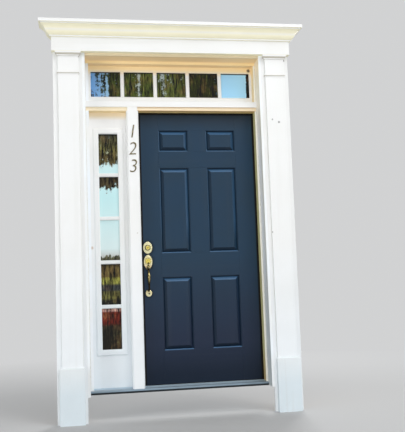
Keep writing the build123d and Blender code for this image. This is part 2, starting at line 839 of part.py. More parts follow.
def transom_bar():
    """The bar over the door and the sidelight that the transom stands on, with its casing."""
    front = frame_front_y - casing_thickness
    outline = [
        (front, bar_casing_z), (front, bar_top_z - bar_wash),
        (frame_front_y, bar_top_z), (frame_back_y, bar_top_z),
        (frame_back_y, bar_rabbet_z), (stop_back_y, bar_rabbet_z),
        (stop_back_y, bar_stop_z), (frame_front_y, bar_stop_z), (frame_front_y, bar_casing_z),
    ]
    return eased(along_x(outline, -inner_x, inner_x), Axis.X)


def head_jamb():
    """The head of the frame over the transom."""
    outline = [
        (frame_front_y, head_stop_z), (frame_front_y, head_top_z), (frame_back_y, head_top_z),
        (frame_back_y, head_rabbet_z), (stop_back_y, head_rabbet_z), (stop_back_y, head_stop_z),
    ]
    return along_x(outline, -frame_half_width, frame_half_width)


def seal_strip(x0, x1, z0, z1, axis):
    """A foam strip on a stop, rounded towards the leaf."""
    strip = block(x0, x1, stop_back_y, door_face_y - seal_clearance, z0, z1)
    return fillet(strip.edges().filter_by(axis).group_by(Axis.Y)[-1], seal_round)


def weatherstrips():
    """The strips along the stops beside and above the leaf."""
    foot_z = sill_seat_z + sill_upstand + seal_inset
    left = (mullion_right_x + seal_inset, mullion_stop_x - seal_inset)
    right = (inner_x - stop_width + seal_inset, inner_x - seal_inset)
    return [
        seal_strip(*left, foot_z, bar_stop_z, Axis.Z),
        seal_strip(*right, foot_z, bar_stop_z, Axis.Z),
        seal_strip(left[0], right[1], bar_stop_z + seal_inset, bar_rabbet_z - seal_inset, Axis.X),
    ]


# Sidelight and transom

def glass_space(middle_x, middle_z, half_x, half_z, y0, y1):
    """The space of a sealed glass unit with its edges in their rabbets."""
    return block(middle_x - half_x - glass_bite, middle_x + half_x + glass_bite, y0, y1,
                 middle_z - half_z - glass_bite, middle_z + half_z + glass_bite)


def glazing_bar_outline(face_y, glass_y):
    """Section of a bevelled bar from its front to the glass, about its own middle."""
    half = bar_width / 2
    bevel_y = face_y + math.copysign(bar_bevel, glass_y - face_y)
    return both_sides([(half, glass_y), (half, bevel_y), (half - bar_bevel, face_y)])


def bar_places(half, count):
    """Middles of the bars that divide a light into equal lites."""
    lite = (2 * half - (count - 1) * bar_width) / count
    return [-half + i * (lite + bar_width) - bar_width / 2 for i in range(1, count)]


def side_glass():
    """The sealed glass unit of the sidelight."""
    y0 = stop_back_y + (sidelight_thickness - glass_thickness) / 2
    return glass_space(*side_light, y0, y0 + glass_thickness)


def sidelight_panel():
    """The fixed panel beside the door, cut out for its glass unit."""
    y1 = stop_back_y + sidelight_thickness
    panel = block(-inner_x, mullion_left_x, stop_back_y, y1, sill_seat_z, bar_rabbet_z)
    return panel - glass_space(*side_light, stop_back_y, y1)


def lite_frame(inside):
    """A moulded frame that laps the panel and holds the glass, with its bars in one piece."""
    toward = 1 if inside else -1
    face = stop_back_y + sidelight_thickness if inside else stop_back_y
    glass_face = face - toward * (sidelight_thickness - glass_thickness) / 2
    top = face + toward * lite_frame_height
    edge = face + toward * lite_frame_edge
    lap_foot = face + toward * lite_frame_leg

    def lap(half):
        wide = half + lite_frame_width
        return both_sides([(wide, face), (wide, edge), (wide - lite_frame_slope, top)])

    def leg(half):
        return both_sides([(half + glass_bite, glass_face), (half + glass_bite, lap_foot)])

    def light(half):
        past = toward * overrun
        bevel = top - toward * lite_bevel_depth
        flare = half + lite_bevel_width * (1 + overrun / lite_bevel_depth)
        return both_sides([(half, glass_face - past), (half, bevel), (flare, top + past)])

    frame = crossed(lap, *side_light) + crossed(leg, *side_light) - crossed(light, *side_light)
    outline = glazing_bar_outline(face - toward * bar_setback, glass_face)
    for z in bar_places(side_half_z, side_lites):
        points = [(y, side_middle_z + z + u) for u, y in outline]
        frame += along_x(points, side_middle_x - side_half_x, side_middle_x + side_half_x)
    return frame


def transom_glass():
    """The sealed glass unit of the transom."""
    y0 = stop_back_y + (sash_thickness - glass_thickness) / 2
    return glass_space(*transom_light, y0, y0 + glass_thickness)


def transom_sash():
    """The fixed sash over the bar, moulded round its glass and divided by upright bars."""
    y0 = stop_back_y
    y1 = y0 + sash_thickness
    half = inner_x - sash_clearance
    sash = block(-half, half, y0, y1, bar_top_z, head_rabbet_z - sash_clearance)

    def light(half):
        flare = half + sash_moulding + overrun
        return both_sides([(flare, y0 - overrun), (half, y0 + sash_moulding), (half, y1 - sash_moulding),
                           (flare, y1 + overrun)])

    glass = transom_glass()
    sash -= crossed(light, *transom_light)
    sash -= glass
    glass_y0 = y0 + (sash_thickness - glass_thickness) / 2
    glass_y1 = glass_y0 + glass_thickness
    for face_y, glass_y in ((y0 + sash_bar_setback, glass_y0), (y1 - sash_bar_setback, glass_y1)):
        outline = glazing_bar_outline(face_y, glass_y)
        for x in bar_places(transom_half_x, transom_lites):
            points = [(transom_middle_x + x + u, y) for u, y in outline]
            sash += along_z(points, transom_middle_z - transom_half_z, transom_middle_z + transom_half_z)
    return sash


# The surround

def wrapped(outline, middle_x, half, front_y, back_y):
    """A moulding mitred round the front and both ends of a board. outline is an open row of edges in
    projection and height, from its bottom on the board to its top."""
    low = outline[0] @ 0
    high = outline[-1] @ 1
    depth = back_y - front_y
    reach = max(edge.bounding_box().max.X for edge in outline) + overrun

    def section(behind):
        closing = Polyline((high.X, high.Y), (-behind, high.Y), (-behind, low.Y), (low.X, low.Y))
        return make_face([*outline, closing])

    right = Plane(origin=(middle_x + half, front_y - reach, 0), x_dir=(1, 0, 0), z_dir=(0, -1, 0))
    left = Plane(origin=(middle_x - half, back_y, 0), x_dir=(-1, 0, 0), z_dir=(0, 1, 0))
    fore = Plane(origin=(middle_x - half - reach, front_y, 0), x_dir=(0, -1, 0), z_dir=(-1, 0, 0))
    ends = [extrude(plane * section(half), amount=-(depth + reach)) for plane in (right, left)]
    front = extrude(fore * section(depth), amount=-2 * (half + reach))
    return (ends[0] + ends[1]) & front


def crown_outline():
    """Bed fillet, cyma and top fillet of the cornice."""
    z = frieze_top_z
    shelf = z + crown_height - crown_top
    lip = crown_projection - crown_lip
    start = (crown_bed, z + crown_bed_height)
    finish = (lip, shelf - crown_lip_drop)
    middle = ((start[0] + finish[0]) / 2, (start[1] + finish[1]) / 2)
    run = math.hypot(finish[0] - start[0], finish[1] - start[1])
    off_x = crown_swell * (finish[1] - start[1]) / run
    off_z = crown_swell * (finish[0] - start[0]) / run
    convex = ((start[0] + middle[0]) / 2 + off_x, (start[1] + middle[1]) / 2 - off_z)
    hollow = ((middle[0] + finish[0]) / 2 - off_x, (middle[1] + finish[1]) / 2 + off_z)
    return [
        Polyline((0, z), (crown_bed, z), start),
        ThreePointArc(start, convex, middle),
        ThreePointArc(middle, hollow, finish),
        Polyline(finish, (lip, shelf), (crown_projection, shelf), (crown_projection, z + crown_height)),
    ]


def capital_outline(top_z):
    """Fillet, ovolo and top fillet of the capital under the frieze."""
    low = top_z - capital_height
    reach = capital_projection
    step = capital_fillet
    foot = (step, low + step)
    head = (reach, top_z - capital_top)
    bulge = ((foot[0] + head[0]) / 2, foot[1] + (head[1] - foot[1]) / 3)
    return [
        Polyline((0, low), (step, low), foot),
        ThreePointArc(foot, bulge, head),
        Line(head, (reach, top_z)),
    ]


def neck_outline():
    """A half-round astragal with a fillet above and below."""
    low = neck_bottom_z
    high = low + neck_height
    step = neck_projection - neck_fillet
    foot = (step, low + neck_fillet)
    head = (step, high - neck_fillet)
    return [
        Polyline((0, low), (step, low), foot),
        ThreePointArc(foot, (neck_projection, (low + high) / 2), head),
        Polyline(head, (step, high), (0, high)),
    ]


def back_board():
    """The wide flat board of the right pilaster, standing on the floor against the wall."""
    outer = frame_half_width + back_board_width
    return eased(block(frame_half_width, outer, board_front_y, 0, 0, frieze_bottom_z))


def face_board():
    """The raised board of the right pilaster with its astragal and capital."""
    half = face_board_width / 2
    board = eased(block(face_middle_x - half, face_middle_x + half, face_front_y, board_front_y,
                        plinth_height, frieze_bottom_z))
    for outline in (neck_outline(), capital_outline(frieze_bottom_z)):
        board += wrapped(outline, face_middle_x, half, face_front_y, board_front_y)
    return board


def plinth():
    """The thick block at the foot of the right pilaster, bevelled on top."""
    half = plinth_width / 2
    front = board_front_y - plinth_thickness
    body = block(board_middle_x - half, board_middle_x + half, front, board_front_y, 0, plinth_height)
    top = body.edges().group_by(Axis.Z)[-1].sort_by(Axis.Y)
    body = chamfer(top[:-1], plinth_bevel)
    return eased(body)


def frieze():
    """The deep flat board across both pilasters."""
    half = frieze_half_width
    board = block(-half, half, -frieze_projection, 0, frieze_bottom_z, frieze_top_z)
    return fillet(board.edges().filter_by(Axis.X).group_by(Axis.Y)[0].sort_by(Axis.Z)[0], edge_ease)


def crown():
    """The cornice, returned to the wall at both ends."""
    return wrapped(crown_outline(), 0, frieze_half_width, -frieze_projection, 0)


def side_lining():
    """The board that lines the right side of the reveal from the pilaster to the frame."""
    board = block(frame_half_width - lining_thickness, frame_half_width, board_front_y, frame_front_y,
                  sill_bottom_z, frieze_bottom_z)
    inner = board.edges().filter_by(Axis.Z).group_by(Axis.Y)[0].sort_by(Axis.X)[0]
    return fillet(inner, edge_ease)


def head_lining():
    """The board that lines the top of the reveal."""
    half = frame_half_width - lining_thickness
    low = frieze_bottom_z - lining_thickness
    return block(-half, half, board_front_y, frame_front_y, low, frieze_bottom_z)


# All the pieces

def build_leaf(pieces):
    """Stiles, rails, upright pieces and panels."""
    stiles = side_stiles()
    heights = [
        ("bottom_rail", door_bottom_z, low_z, False, True),
        ("lock_rail", low_z + low_panel, tall_z, True, True),
        ("frieze_rail", tall_z + tall_panel, small_z, True, True),
        ("top_rail", small_z + small_panel, door_top_z, True, False),
    ]
    rails = []
    for name, low, high, under, over in heights:
        rails.append(rail(low, high, under, over, stiles))
        pieces[name] = rails[-1]
    rows = [("lower", low_z, low_panel), ("tall", tall_z, tall_panel), ("upper", small_z, small_panel)]
    for i, (name, low, height) in enumerate(rows):
        pieces[name + "_centre_stile"] = middle_stile(low, height, rails[i:i + 2])
        for side, sight in (("left", sight_left), ("right", sight_right)):
            pieces[name + "_panel_" + side] = raised_panel(sight, low, height)
    hinge_stile = stiles[1]
    for z in hinge_places:
        hinge_stile -= hinge_flat(z, -1)
    pieces["lock_stile"] = lock_stile_bores(stiles[0])
    pieces["hinge_stile"] = hinge_stile
    pieces["door_sweep"] = door_sweep()


def build_hinges(pieces):
    """Three butt hinges: each kind of part is one group."""
    pieces["hinge_leaves_on_door"] = Compound([hinge_plate(z, -1, 1) for z in hinge_places])
    pieces["hinge_leaves_on_jamb"] = Compound([hinge_plate(z, 1, 0) for z in hinge_places])
    pieces["hinge_pins"] = Compound([hinge_pin(z) for z in hinge_places])


def build_furniture(pieces):
    """Handle set, knob, bolts and strikes."""
    for make in (deadbolt_collar, key_plug, handle_plate, thumb_piece, grip, lower_rosette, knob_rose,
                 inside_knob, turn_plate, thumb_turn, latch_bolt, deadbolt):
        pieces[make.__name__] = make()
    pieces["latch_case"] = bolt_case(latch_z, latch_bolt_radius)
    pieces["deadbolt_case"] = bolt_case(deadbolt_z, deadbolt_radius)
    pieces["latch_strike"] = strike(latch_z, latch_bolt_radius)
    pieces["deadbolt_strike"] = strike(deadbolt_z, deadbolt_radius)


def build_frame(pieces):
    """Jambs, mullion, bar, head and sill, housed into one another."""
    head = head_jamb()
    bar = transom_bar()
    right_lining = side_lining()
    left_lining = mirrored(side_lining())
    base = sill() - right_lining - left_lining
    right = along_z(jamb_outline(1, stop_width), sill_bottom_z, head_top_z) - head - bar - base
    for z in hinge_places:
        right -= hinge_flat(z, 1)
    left = along_z(jamb_outline(-1, side_stop_width), sill_bottom_z, head_top_z) - head - bar - base
    post = mullion() - bar - base
    bolts = ((latch_z, latch_bolt_radius, latch_throw), (deadbolt_z, deadbolt_radius, deadbolt_throw))
    for z, radius, throw in bolts:
        post -= strike_seat(z)
        post -= bolt_pocket(z, radius, throw + pocket_spare)
    pieces["right_jamb"] = right
    pieces["left_jamb"] = left
    pieces["mullion"] = post
    pieces["transom_bar"] = bar
    pieces["head_jamb"] = head
    pieces["sill"] = base
    pieces["threshold_cap"] = threshold_cap()
    pieces["weatherstrips"] = Compound(weatherstrips())
    pieces["right_lining"] = right_lining
    pieces["left_lining"] = left_lining
    pieces["head_lining"] = head_lining()


def build_glazing(pieces):
    """The sidelight and the transom."""
    pieces["sidelight_panel"] = sidelight_panel()
    pieces["sidelight_glass"] = side_glass()
    pieces["sidelight_frame_outside"] = lite_frame(False)
    pieces["sidelight_frame_inside"] = lite_frame(True)
    pieces["transom_sash"] = transom_sash()
    pieces["transom_glass"] = transom_glass()


def build_surround(pieces):
    """Pilasters, frieze and cornice."""
    shapes = {"pilaster_board": back_board(), "pilaster_face": face_board(), "plinth": plinth()}
    for name, shape in shapes.items():
        pieces["right_" + name] = shape
        pieces["left_" + name] = mirrored(shape)
    pieces["frieze"] = frieze()
    pieces["crown"] = crown()


os.makedirs("parts", exist_ok=True)
parts = {}
for build in (build_leaf, build_hinges, build_furniture, build_frame, build_glazing, build_surround):
    build(parts)
for node, shape in parts.items():
    export_step(shape, "parts/" + node + ".step")
print(len(parts), "pieces")
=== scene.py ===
import math
import random

import bmesh
import bpy
from mathutils import Matrix, Vector


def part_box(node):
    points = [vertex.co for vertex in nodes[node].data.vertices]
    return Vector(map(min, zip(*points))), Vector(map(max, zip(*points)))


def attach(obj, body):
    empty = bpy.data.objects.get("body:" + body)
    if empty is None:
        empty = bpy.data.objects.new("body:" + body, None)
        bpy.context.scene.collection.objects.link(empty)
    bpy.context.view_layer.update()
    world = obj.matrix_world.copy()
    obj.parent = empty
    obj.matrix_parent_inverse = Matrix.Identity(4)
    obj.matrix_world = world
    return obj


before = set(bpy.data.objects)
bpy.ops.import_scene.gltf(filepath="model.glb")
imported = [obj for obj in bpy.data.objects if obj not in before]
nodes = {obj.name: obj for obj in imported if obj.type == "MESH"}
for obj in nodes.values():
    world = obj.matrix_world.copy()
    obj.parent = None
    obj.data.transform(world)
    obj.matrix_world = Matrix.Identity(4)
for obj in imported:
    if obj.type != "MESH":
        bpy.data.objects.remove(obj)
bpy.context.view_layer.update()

scene = bpy.context.scene
scene.view_settings.view_transform = "Standard"

# Camera, at the height and slant of the photograph
camera_place = (-0.661, -5.095, 0.911)
camera_yaw = math.radians(-9.44)
camera_pitch = math.radians(5.74)
camera_roll = math.radians(2.02)
camera_lens = 58.92
camera_sensor = 36.0

# Studio
backdrop = (0.64, 0.645, 0.65, 1)
ambient = (0.94, 0.975, 1.0, 1)
ambient_level = 0.39
floor_grey = (0.50, 0.50, 0.50, 1)
floor_size = 60
floor_fade = (2.0, 5.0)

# Colours, linear
black = (0.0, 0.0, 0.0, 1)
near_black = (0.006, 0.006, 0.006, 1)
white = (1.0, 1.0, 1.0, 1)
rust = (0.50, 0.29, 0.13, 1)
nail_grey = (0.20, 0.20, 0.19, 1)
bare_pine = (0.60, 0.42, 0.24, 1)

door_blue = (0.0125, 0.0380, 0.0740, 1)
door_second = (0.0160, 0.0370, 0.0600, 1)
door_dust = (0.05, 0.06, 0.07, 1)
# Painted light on the leaf: shade at its head and towards its foot, highlights and shade on its mouldings
door_top_shade = (0.015, 0.024, 0.036, 1)
door_low_shade = (0.0120, 0.0200, 0.0450, 1)
door_foot_shade = (0.002, 0.009, 0.023, 1)
door_highlight_top = (0.050, 0.130, 0.250, 1)
door_highlight_side = (0.040, 0.105, 0.200, 1)
door_shade_under = (0.003, 0.011, 0.024, 1)
door_shade_side = (0.004, 0.016, 0.034, 1)

trim_white = (0.87, 0.875, 0.87, 1)
trim_second = (0.84, 0.84, 0.815, 1)
trim_grime = (0.50, 0.47, 0.40, 1)
# Painted cool shade low on the trim
trim_cool_shade = (0.845, 0.890, 0.925, 1)
trim_ledge_grey = (0.66, 0.64, 0.58, 1)
# Painted shade under the pilasters' mouldings
trim_under_shade = (0.55, 0.51, 0.43, 1)
# Painted warm bounce light under the crown
trim_warm_bounce = (1.0, 0.95, 0.71, 1)
# Painted cool shade low on the plinths and the sidelight's panel
plinth_cool_shade = (0.70, 0.79, 0.84, 1)
panel_cool_shade = (0.80, 0.87, 0.92, 1)
# Painted warm bounce light at the top of the sidelight's panel
panel_warm_bounce = (1.0, 0.84, 0.58, 1)

# The reveals' white paint, drawn with painted warm bounce light (cream, gold, warm) and painted shade
# (tan, buff, olive, shade)
reveal_bounce_cream = (1.0, 0.79, 0.45, 1)
reveal_bounce_second = (0.96, 0.74, 0.37, 1)
reveal_grime = (0.46, 0.30, 0.13, 1)
reveal_tan_shade = (0.66, 0.50, 0.30, 1)
reveal_brown = (0.62, 0.42, 0.20, 1)
reveal_shade = (0.46, 0.22, 0.06, 1)
reveal_bounce_gold = (1.0, 0.74, 0.32, 1)
reveal_bounce_warm = (1.0, 0.74, 0.43, 1)
reveal_buff_shade = (0.80, 0.68, 0.47, 1)
reveal_olive_shade = (0.64, 0.60, 0.30, 1)
reveal_edge = (0.98, 0.96, 0.86, 1)
lining_white = (0.89, 0.93, 0.97, 1)
lining_second = (0.88, 0.87, 0.83, 1)
# Painted shade on the linings' front, painted warm bounce light high up, painted cool shade lower down
lining_front_shade = (0.82, 0.82, 0.72, 1)
lining_warm_bounce = (1.0, 0.90, 0.68, 1)
lining_cool_shade = (0.58, 0.64, 0.66, 1)

sill_grey = (0.24, 0.32, 0.39, 1)
sill_second = (0.19, 0.25, 0.30, 1)
# Painted light on the sill's top and a painted shadow line under its nose
sill_painted_light = (0.44, 0.56, 0.65, 1)
sill_dirt = (0.16, 0.16, 0.15, 1)
sill_shadow_line = (0.01, 0.015, 0.018, 1)

brass_bright = (1.0, 0.88, 0.50, 1)
brass_grip = (1.0, 0.83, 0.36, 1)
# Painted reflection, highlights and shade on the brass, and its tarnish
brass_reflection_yellow = (0.92, 0.74, 0.12, 1)
brass_highlight_pink = (1.0, 0.72, 0.46, 1)
brass_highlight_pale = (1.0, 0.95, 0.60, 1)
brass_tarnish_and_shade = (0.030, 0.020, 0.006, 1)
steel_grey = (0.52, 0.52, 0.50, 1)
steel_dark = (0.20, 0.19, 0.17, 1)
number_bronze = (0.30, 0.26, 0.15, 1)

rubber_black = (0.012, 0.012, 0.012, 1)
rubber_dust = (0.03, 0.028, 0.026, 1)
foam_brown = (0.10, 0.075, 0.05, 1)
foam_light = (0.16, 0.12, 0.08, 1)
caulk_white = (0.76, 0.75, 0.71, 1)
caulk_grey = (0.62, 0.59, 0.52, 1)
# Leaves in the painted reflection on the glass
reflected_leaf_brown = (0.24, 0.13, 0.05, 1)
reflected_leaf_highlight = (0.44, 0.46, 0.16, 1)

# Where things are, in metres
casing_middle_x = -0.304
casing_front_y = 0.0685
frame_front_y = 0.0805
stop_back_y = 0.146
door_face_y = 0.152
door_back_y = 0.1965
door_edge_x = (-0.270, 0.644)
rabbet_x = (-0.273, 0.647)
board_front_y = -0.038
pilaster_face_y = -0.057
lock_x = -0.210
latch_z = 1.081
deadbolt_z = 1.216
hinge_heights = (0.520, 1.269, 2.018)


# Stage

def camera():
    """The camera at the photograph's viewing angle."""
    data = bpy.data.cameras.new("photo_camera")
    data.sensor_fit = "VERTICAL"
    data.sensor_height = camera_sensor
    data.lens = camera_lens
    data.clip_end = 100
    eye = bpy.data.objects.new("photo_camera", data)
    scene.collection.objects.link(eye)
    turn = (Matrix.Rotation(camera_yaw, 4, "Z") @ Matrix.Rotation(camera_pitch, 4, "X")
            @ Matrix.Rotation(camera_roll, 4, "Y") @ Matrix.Rotation(math.pi / 2, 4, "X"))
    eye.matrix_world = Matrix.Translation(camera_place) @ turn
    scene.camera = eye


def lamp(name, place, target, size, power, mirrored=True):
    """A square soft box that looks at a point. One that isn't mirrored lights without a highlight."""
    data = bpy.data.lights.new(name, "AREA")
    data.size = size
    data.energy = power
    box = bpy.data.objects.new(name, data)
    scene.collection.objects.link(box)
    aim = Vector(target) - Vector(place)
    box.location = place
    box.rotation_euler = aim.to_track_quat("-Z", "Y").to_euler()
    box.visible_glossy = mirrored


def seen_rays(tree):
    """One for the rays that show the backdrop, nothing for the rays that light the object."""
    rays = put(tree, "LightPath").outputs
    direct = sums(tree, "MAXIMUM", rays["Is Camera Ray"], rays["Is Glossy Ray"])
    return sums(tree, "MAXIMUM", direct, rays["Is Transmission Ray"])


def world_light():
    """A pale backdrop that is seen, and plain light from all round that isn't."""
    world = bpy.data.worlds.new("studio")
    world.use_nodes = True
    tree = world.node_tree
    tree.nodes.clear()
    shown = put(tree, "Background", {"Color": backdrop, "Strength": 1.0}).outputs[0]
    light = put(tree, "Background", {"Color": ambient, "Strength": ambient_level}).outputs[0]
    mix = put(tree, "MixShader", {0: seen_rays(tree), 1: light, 2: shown}).outputs[0]
    put(tree, "OutputWorld", {"Surface": mix})
    scene.world = world


def floor():
    """A wide pale floor that runs out into the backdrop."""
    clear_selection()
    bpy.ops.mesh.primitive_plane_add(size=floor_size, location=(0, 0, 0))
    ground = bpy.context.object
    ground.name = "studio_floor"
    matt, tree, shader = blank("floor_pale")
    shader.inputs["Base Color"].default_value = floor_grey
    shader.inputs["Roughness"].default_value = 0.9
    place = put(tree, "TexCoord").outputs["Object"]
    away = put(tree, "VectorMath", {0: place}, operation="LENGTH").outputs["Value"]
    fade = sums(tree, "MULTIPLY", mapped(tree, away, *floor_fade), seen_rays(tree))
    far = put(tree, "Emission", {"Color": backdrop, "Strength": 1.0}).outputs[0]
    mix = put(tree, "MixShader", {0: fade, 1: shader.outputs[0], 2: far}).outputs[0]
    tree.links.new(mix, tree.nodes["Material Output"].inputs["Surface"])
    ground.data.materials.append(matt)


# Shader helpers

def put(tree, kind, inputs=None, **settings):
    """Adds a node, sets its properties, then its inputs: a value, or an output socket to link from."""
    made = tree.nodes.new("ShaderNode" + kind)
    for key, value in settings.items():
        setattr(made, key, value)
    for key, value in (inputs or {}).items():
        if isinstance(value, bpy.types.NodeSocket):
            tree.links.new(value, made.inputs[key])
        else:
            made.inputs[key].default_value = value
    return made


def new_group(name, inputs, outputs):
    """A node group with named sockets: its tree, what it is given and where its results go."""
    tree = bpy.data.node_groups.new(name, "ShaderNodeTree")
    for label, kind in inputs:
        tree.interface.new_socket(name=label, in_out="INPUT", socket_type="NodeSocket" + kind)
    for label, kind in outputs:
        tree.interface.new_socket(name=label, in_out="OUTPUT", socket_type="NodeSocket" + kind)
    return tree, tree.nodes.new("NodeGroupInput").outputs, tree.nodes.new("NodeGroupOutput").inputs


def sums(tree, kind, *values):
    """The result of a Math node."""
    return put(tree, "Math", dict(enumerate(values)), operation=kind).outputs[0]


def apart(tree, place, centre):
    """How far two places are from each other."""
    return put(tree, "VectorMath", {0: place, 1: centre}, operation="DISTANCE").outputs["Value"]


def mixed(tree, fac, low, high):
    """Mixes two colours and returns the colour output."""
    return put(tree, "Mix", {0: fac, 6: low, 7: high}, data_type="RGBA").outputs[2]


def mapped(tree, value, low, high, to_low=0.0, to_high=1.0):
    """Maps a value from one range to another, held at its ends."""
    return put(tree, "MapRange", {"Value": value, "From Min": low, "From Max": high,
                                  "To Min": to_low, "To Max": to_high}).outputs["Result"]


def noise(tree, place, scale, detail=4.0, rough=0.55):
    """Cloudy noise between 0 and 1."""
    settings = {"Vector": place, "Scale": scale, "Detail": detail, "Roughness": rough}
    return put(tree, "TexNoise", settings).outputs["Fac"]


def stretched(tree, place, scale):
    """A place with its axes scaled, so that a pattern on it is drawn out."""
    return put(tree, "Mapping", {"Vector": place, "Scale": scale}).outputs["Vector"]


def axes(tree, place):
    """The X, Y and Z of a place or of the way a face looks."""
    return put(tree, "SeparateXYZ", {"Vector": place}).outputs


def use(tree, group, inputs):
    """Places a group in a material."""
    return put(tree, "Group", inputs, node_tree=group).outputs


def blank(name):
    """A new material; returns it with its tree and its Principled shader."""
    made = bpy.data.materials.new(name)
    made.use_nodes = True
    return made, made.node_tree, made.node_tree.nodes["Principled BSDF"]


def bumped(tree, shader, height, strength, distance):
    """Feeds a height to the shader's normal."""
    bump = put(tree, "Bump", {"Height": height, "Strength": strength, "Distance": distance})
    tree.links.new(bump.outputs["Normal"], shader.inputs["Normal"])


def ramp(tree, value, stops):
    """A colour ramp from places and colours."""
    made = put(tree, "ValToRGB", {"Fac": value})
    points = made.color_ramp.elements
    while len(points) < len(stops):
        points.new(0.5)
    for point, (place, colour) in zip(points, stops):
        point.position = place
        point.color = colour
    return made.outputs["Color"]


# Effects that several finishes share

def paint_group():
    """Brushed paint: slow mottling, brush marks along the board, specks of dirt."""
    tree, given, result = new_group(
        "brushed_paint",
        [("Place", "Vector"), ("Along", "Vector"), ("Paint", "Color"), ("Second", "Color"),
         ("Grime", "Color"), ("Mottle", "Float"), ("Dirt", "Float")],
        [("Color", "Color"), ("Roughness", "Float"), ("Height", "Float")])
    cloud = noise(tree, given["Place"], scale=3.2, detail=5.0)
    brush = noise(tree, given["Along"], scale=110.0, rough=0.6)
    speck = noise(tree, given["Place"], scale=95.0, detail=2.0)
    streak = noise(tree, given["Along"], scale=16.0, detail=3.0)
    tone = sums(tree, "MULTIPLY", mapped(tree, cloud, 0.38, 0.68), given["Mottle"])
    film = sums(tree, "MULTIPLY", mapped(tree, streak, 0.55, 0.80), given["Dirt"])
    spots = sums(tree, "MULTIPLY", mapped(tree, speck, 0.70, 0.78), given["Dirt"])
    coat = mixed(tree, tone, given["Paint"], given["Second"])
    colour = mixed(tree, sums(tree, "MAXIMUM", film, spots), coat, given["Grime"])
    tree.links.new(colour, result["Color"])
    tree.links.new(mapped(tree, brush, 0.3, 0.7, 0.32, 0.48), result["Roughness"])
    tree.links.new(brush, result["Height"])
    return tree


def tarnish_reflection_group():
    """Metal, bright where hands and rain rub its outward faces and dark where it turns aside: partly
    tarnish, partly a painted dark reflection; with small pits.
    """
    tree, given, result = new_group(
        "tarnish_and_dark_reflection",
        [("Place", "Vector"), ("Facing", "Float"), ("Rub", "Float"), ("Metal", "Color"),
         ("Tarnish_and_shade", "Color"), ("Amount", "Float")],
        [("Color", "Color"), ("Roughness", "Float"), ("Height", "Float")])
    cloud = noise(tree, given["Place"], scale=70.0, detail=6.0, rough=0.65)
    pits = put(tree, "TexVoronoi", {"Vector": given["Place"], "Scale": 380.0}).outputs["Distance"]
    edge = sums(tree, "ADD", given["Facing"], mapped(tree, cloud, 0.3, 0.7, -0.30, 0.30))
    turned_aside = mapped(tree, edge, given["Rub"], sums(tree, "SUBTRACT", given["Rub"], 0.28))
    clouded = sums(tree, "MULTIPLY", mapped(tree, cloud, 0.56, 0.70), 0.8)
    deep = mapped(tree, pits, 0.20, 0.08)
    pitted = sums(tree, "MULTIPLY", deep, mapped(tree, cloud, 0.45, 0.55))
    dark = sums(tree, "MAXIMUM", sums(tree, "MAXIMUM", turned_aside, clouded), pitted)
    shown = sums(tree, "MULTIPLY", dark, given["Amount"])
    tree.links.new(mixed(tree, shown, given["Metal"], given["Tarnish_and_shade"]), result["Color"])
    tree.links.new(mapped(tree, cloud, 0.35, 0.7, 0.14, 0.36), result["Roughness"])
    tree.links.new(cloud, result["Height"])
    return tree


def mark_group():
    """One small round mark: how much of it lies at a place."""
    tree, given, result = new_group(
        "small_mark", [("Place", "Vector"), ("Centre", "Vector"), ("Radius", "Float")],
        [("Mask", "Float")])
    away = sums(tree, "DIVIDE", apart(tree, given["Place"], given["Centre"]), given["Radius"])
    ragged = sums(tree, "ADD", away, noise(tree, given["Place"], scale=130.0))
    tree.links.new(mapped(tree, ragged, 1.7, 0.9), result["Mask"])
    return tree


def ring_group():
    """A thin ring round a place: how much of it lies there. A ring of no radius is a disc."""
    tree, given, result = new_group(
        "fine_ring",
        [("Place", "Vector"), ("Centre", "Vector"), ("Radius", "Float"), ("Width", "Float")],
        [("Mask", "Float")])
    away = apart(tree, given["Place"], given["Centre"])
    off = sums(tree, "ABSOLUTE", sums(tree, "SUBTRACT", away, given["Radius"]))
    spread = sums(tree, "DIVIDE", off, given["Width"])
    worn = sums(tree, "ADD", spread, noise(tree, given["Place"], scale=240.0))
    tree.links.new(mapped(tree, worn, 1.6, 1.1), result["Mask"])
    return tree


grain_of = {"up": (1.0, 1.0, 0.03), "across": (0.03, 1.0, 1.0)}
second_tone = 0.9       # of a zone's colour


def painted(name, coat, run, mottle=0.5, dirt=0.12, marks=(), zones=(), gloss=0.3):
    """Brushed paint in three colours, its brush marks up or across. A mark is a centre, a radius,
    a colour and a strength: a stain, or a painted shadow. A zone is its limits, a colour and how
    much of it shows; most zones paint light and shade into the colour."""
    made, tree, shader = blank(name)
    spots = put(tree, "TexCoord").outputs
    place = spots["Object"]
    parts = axes(tree, place)
    facing = axes(tree, spots["Normal"])
    paint, second, grime = coat
    for limits, shade, strength in zones:
        cover = strength
        for axis, start, full in limits:
            value = {"right": facing["X"], "up": facing["Z"]}.get(axis) or parts[axis]
            cover = sums(tree, "MULTIPLY", mapped(tree, value, start, full), cover)
        paint = mixed(tree, cover, paint, shade)
        second = mixed(tree, cover, second, tuple(second_tone * part for part in shade[:3]) + (1,))
    face = use(tree, paint_tool, {
        "Place": place, "Along": stretched(tree, place, grain_of[run]), "Paint": paint,
        "Second": second, "Grime": grime, "Mottle": mottle, "Dirt": dirt})
    colour = face["Color"]
    for centre, radius, mark_colour, strength in marks:
        mask = use(tree, mark_tool, {"Place": place, "Centre": centre, "Radius": radius})["Mask"]
        colour = mixed(tree, sums(tree, "MULTIPLY", mask, strength), colour, mark_colour)
    tree.links.new(colour, shader.inputs["Base Color"])
    tree.links.new(face["Roughness"], shader.inputs["Roughness"])
    shader.inputs["Specular IOR Level"].default_value = gloss
    bumped(tree, shader, face["Height"], strength=0.35, distance=0.0006)
    return made


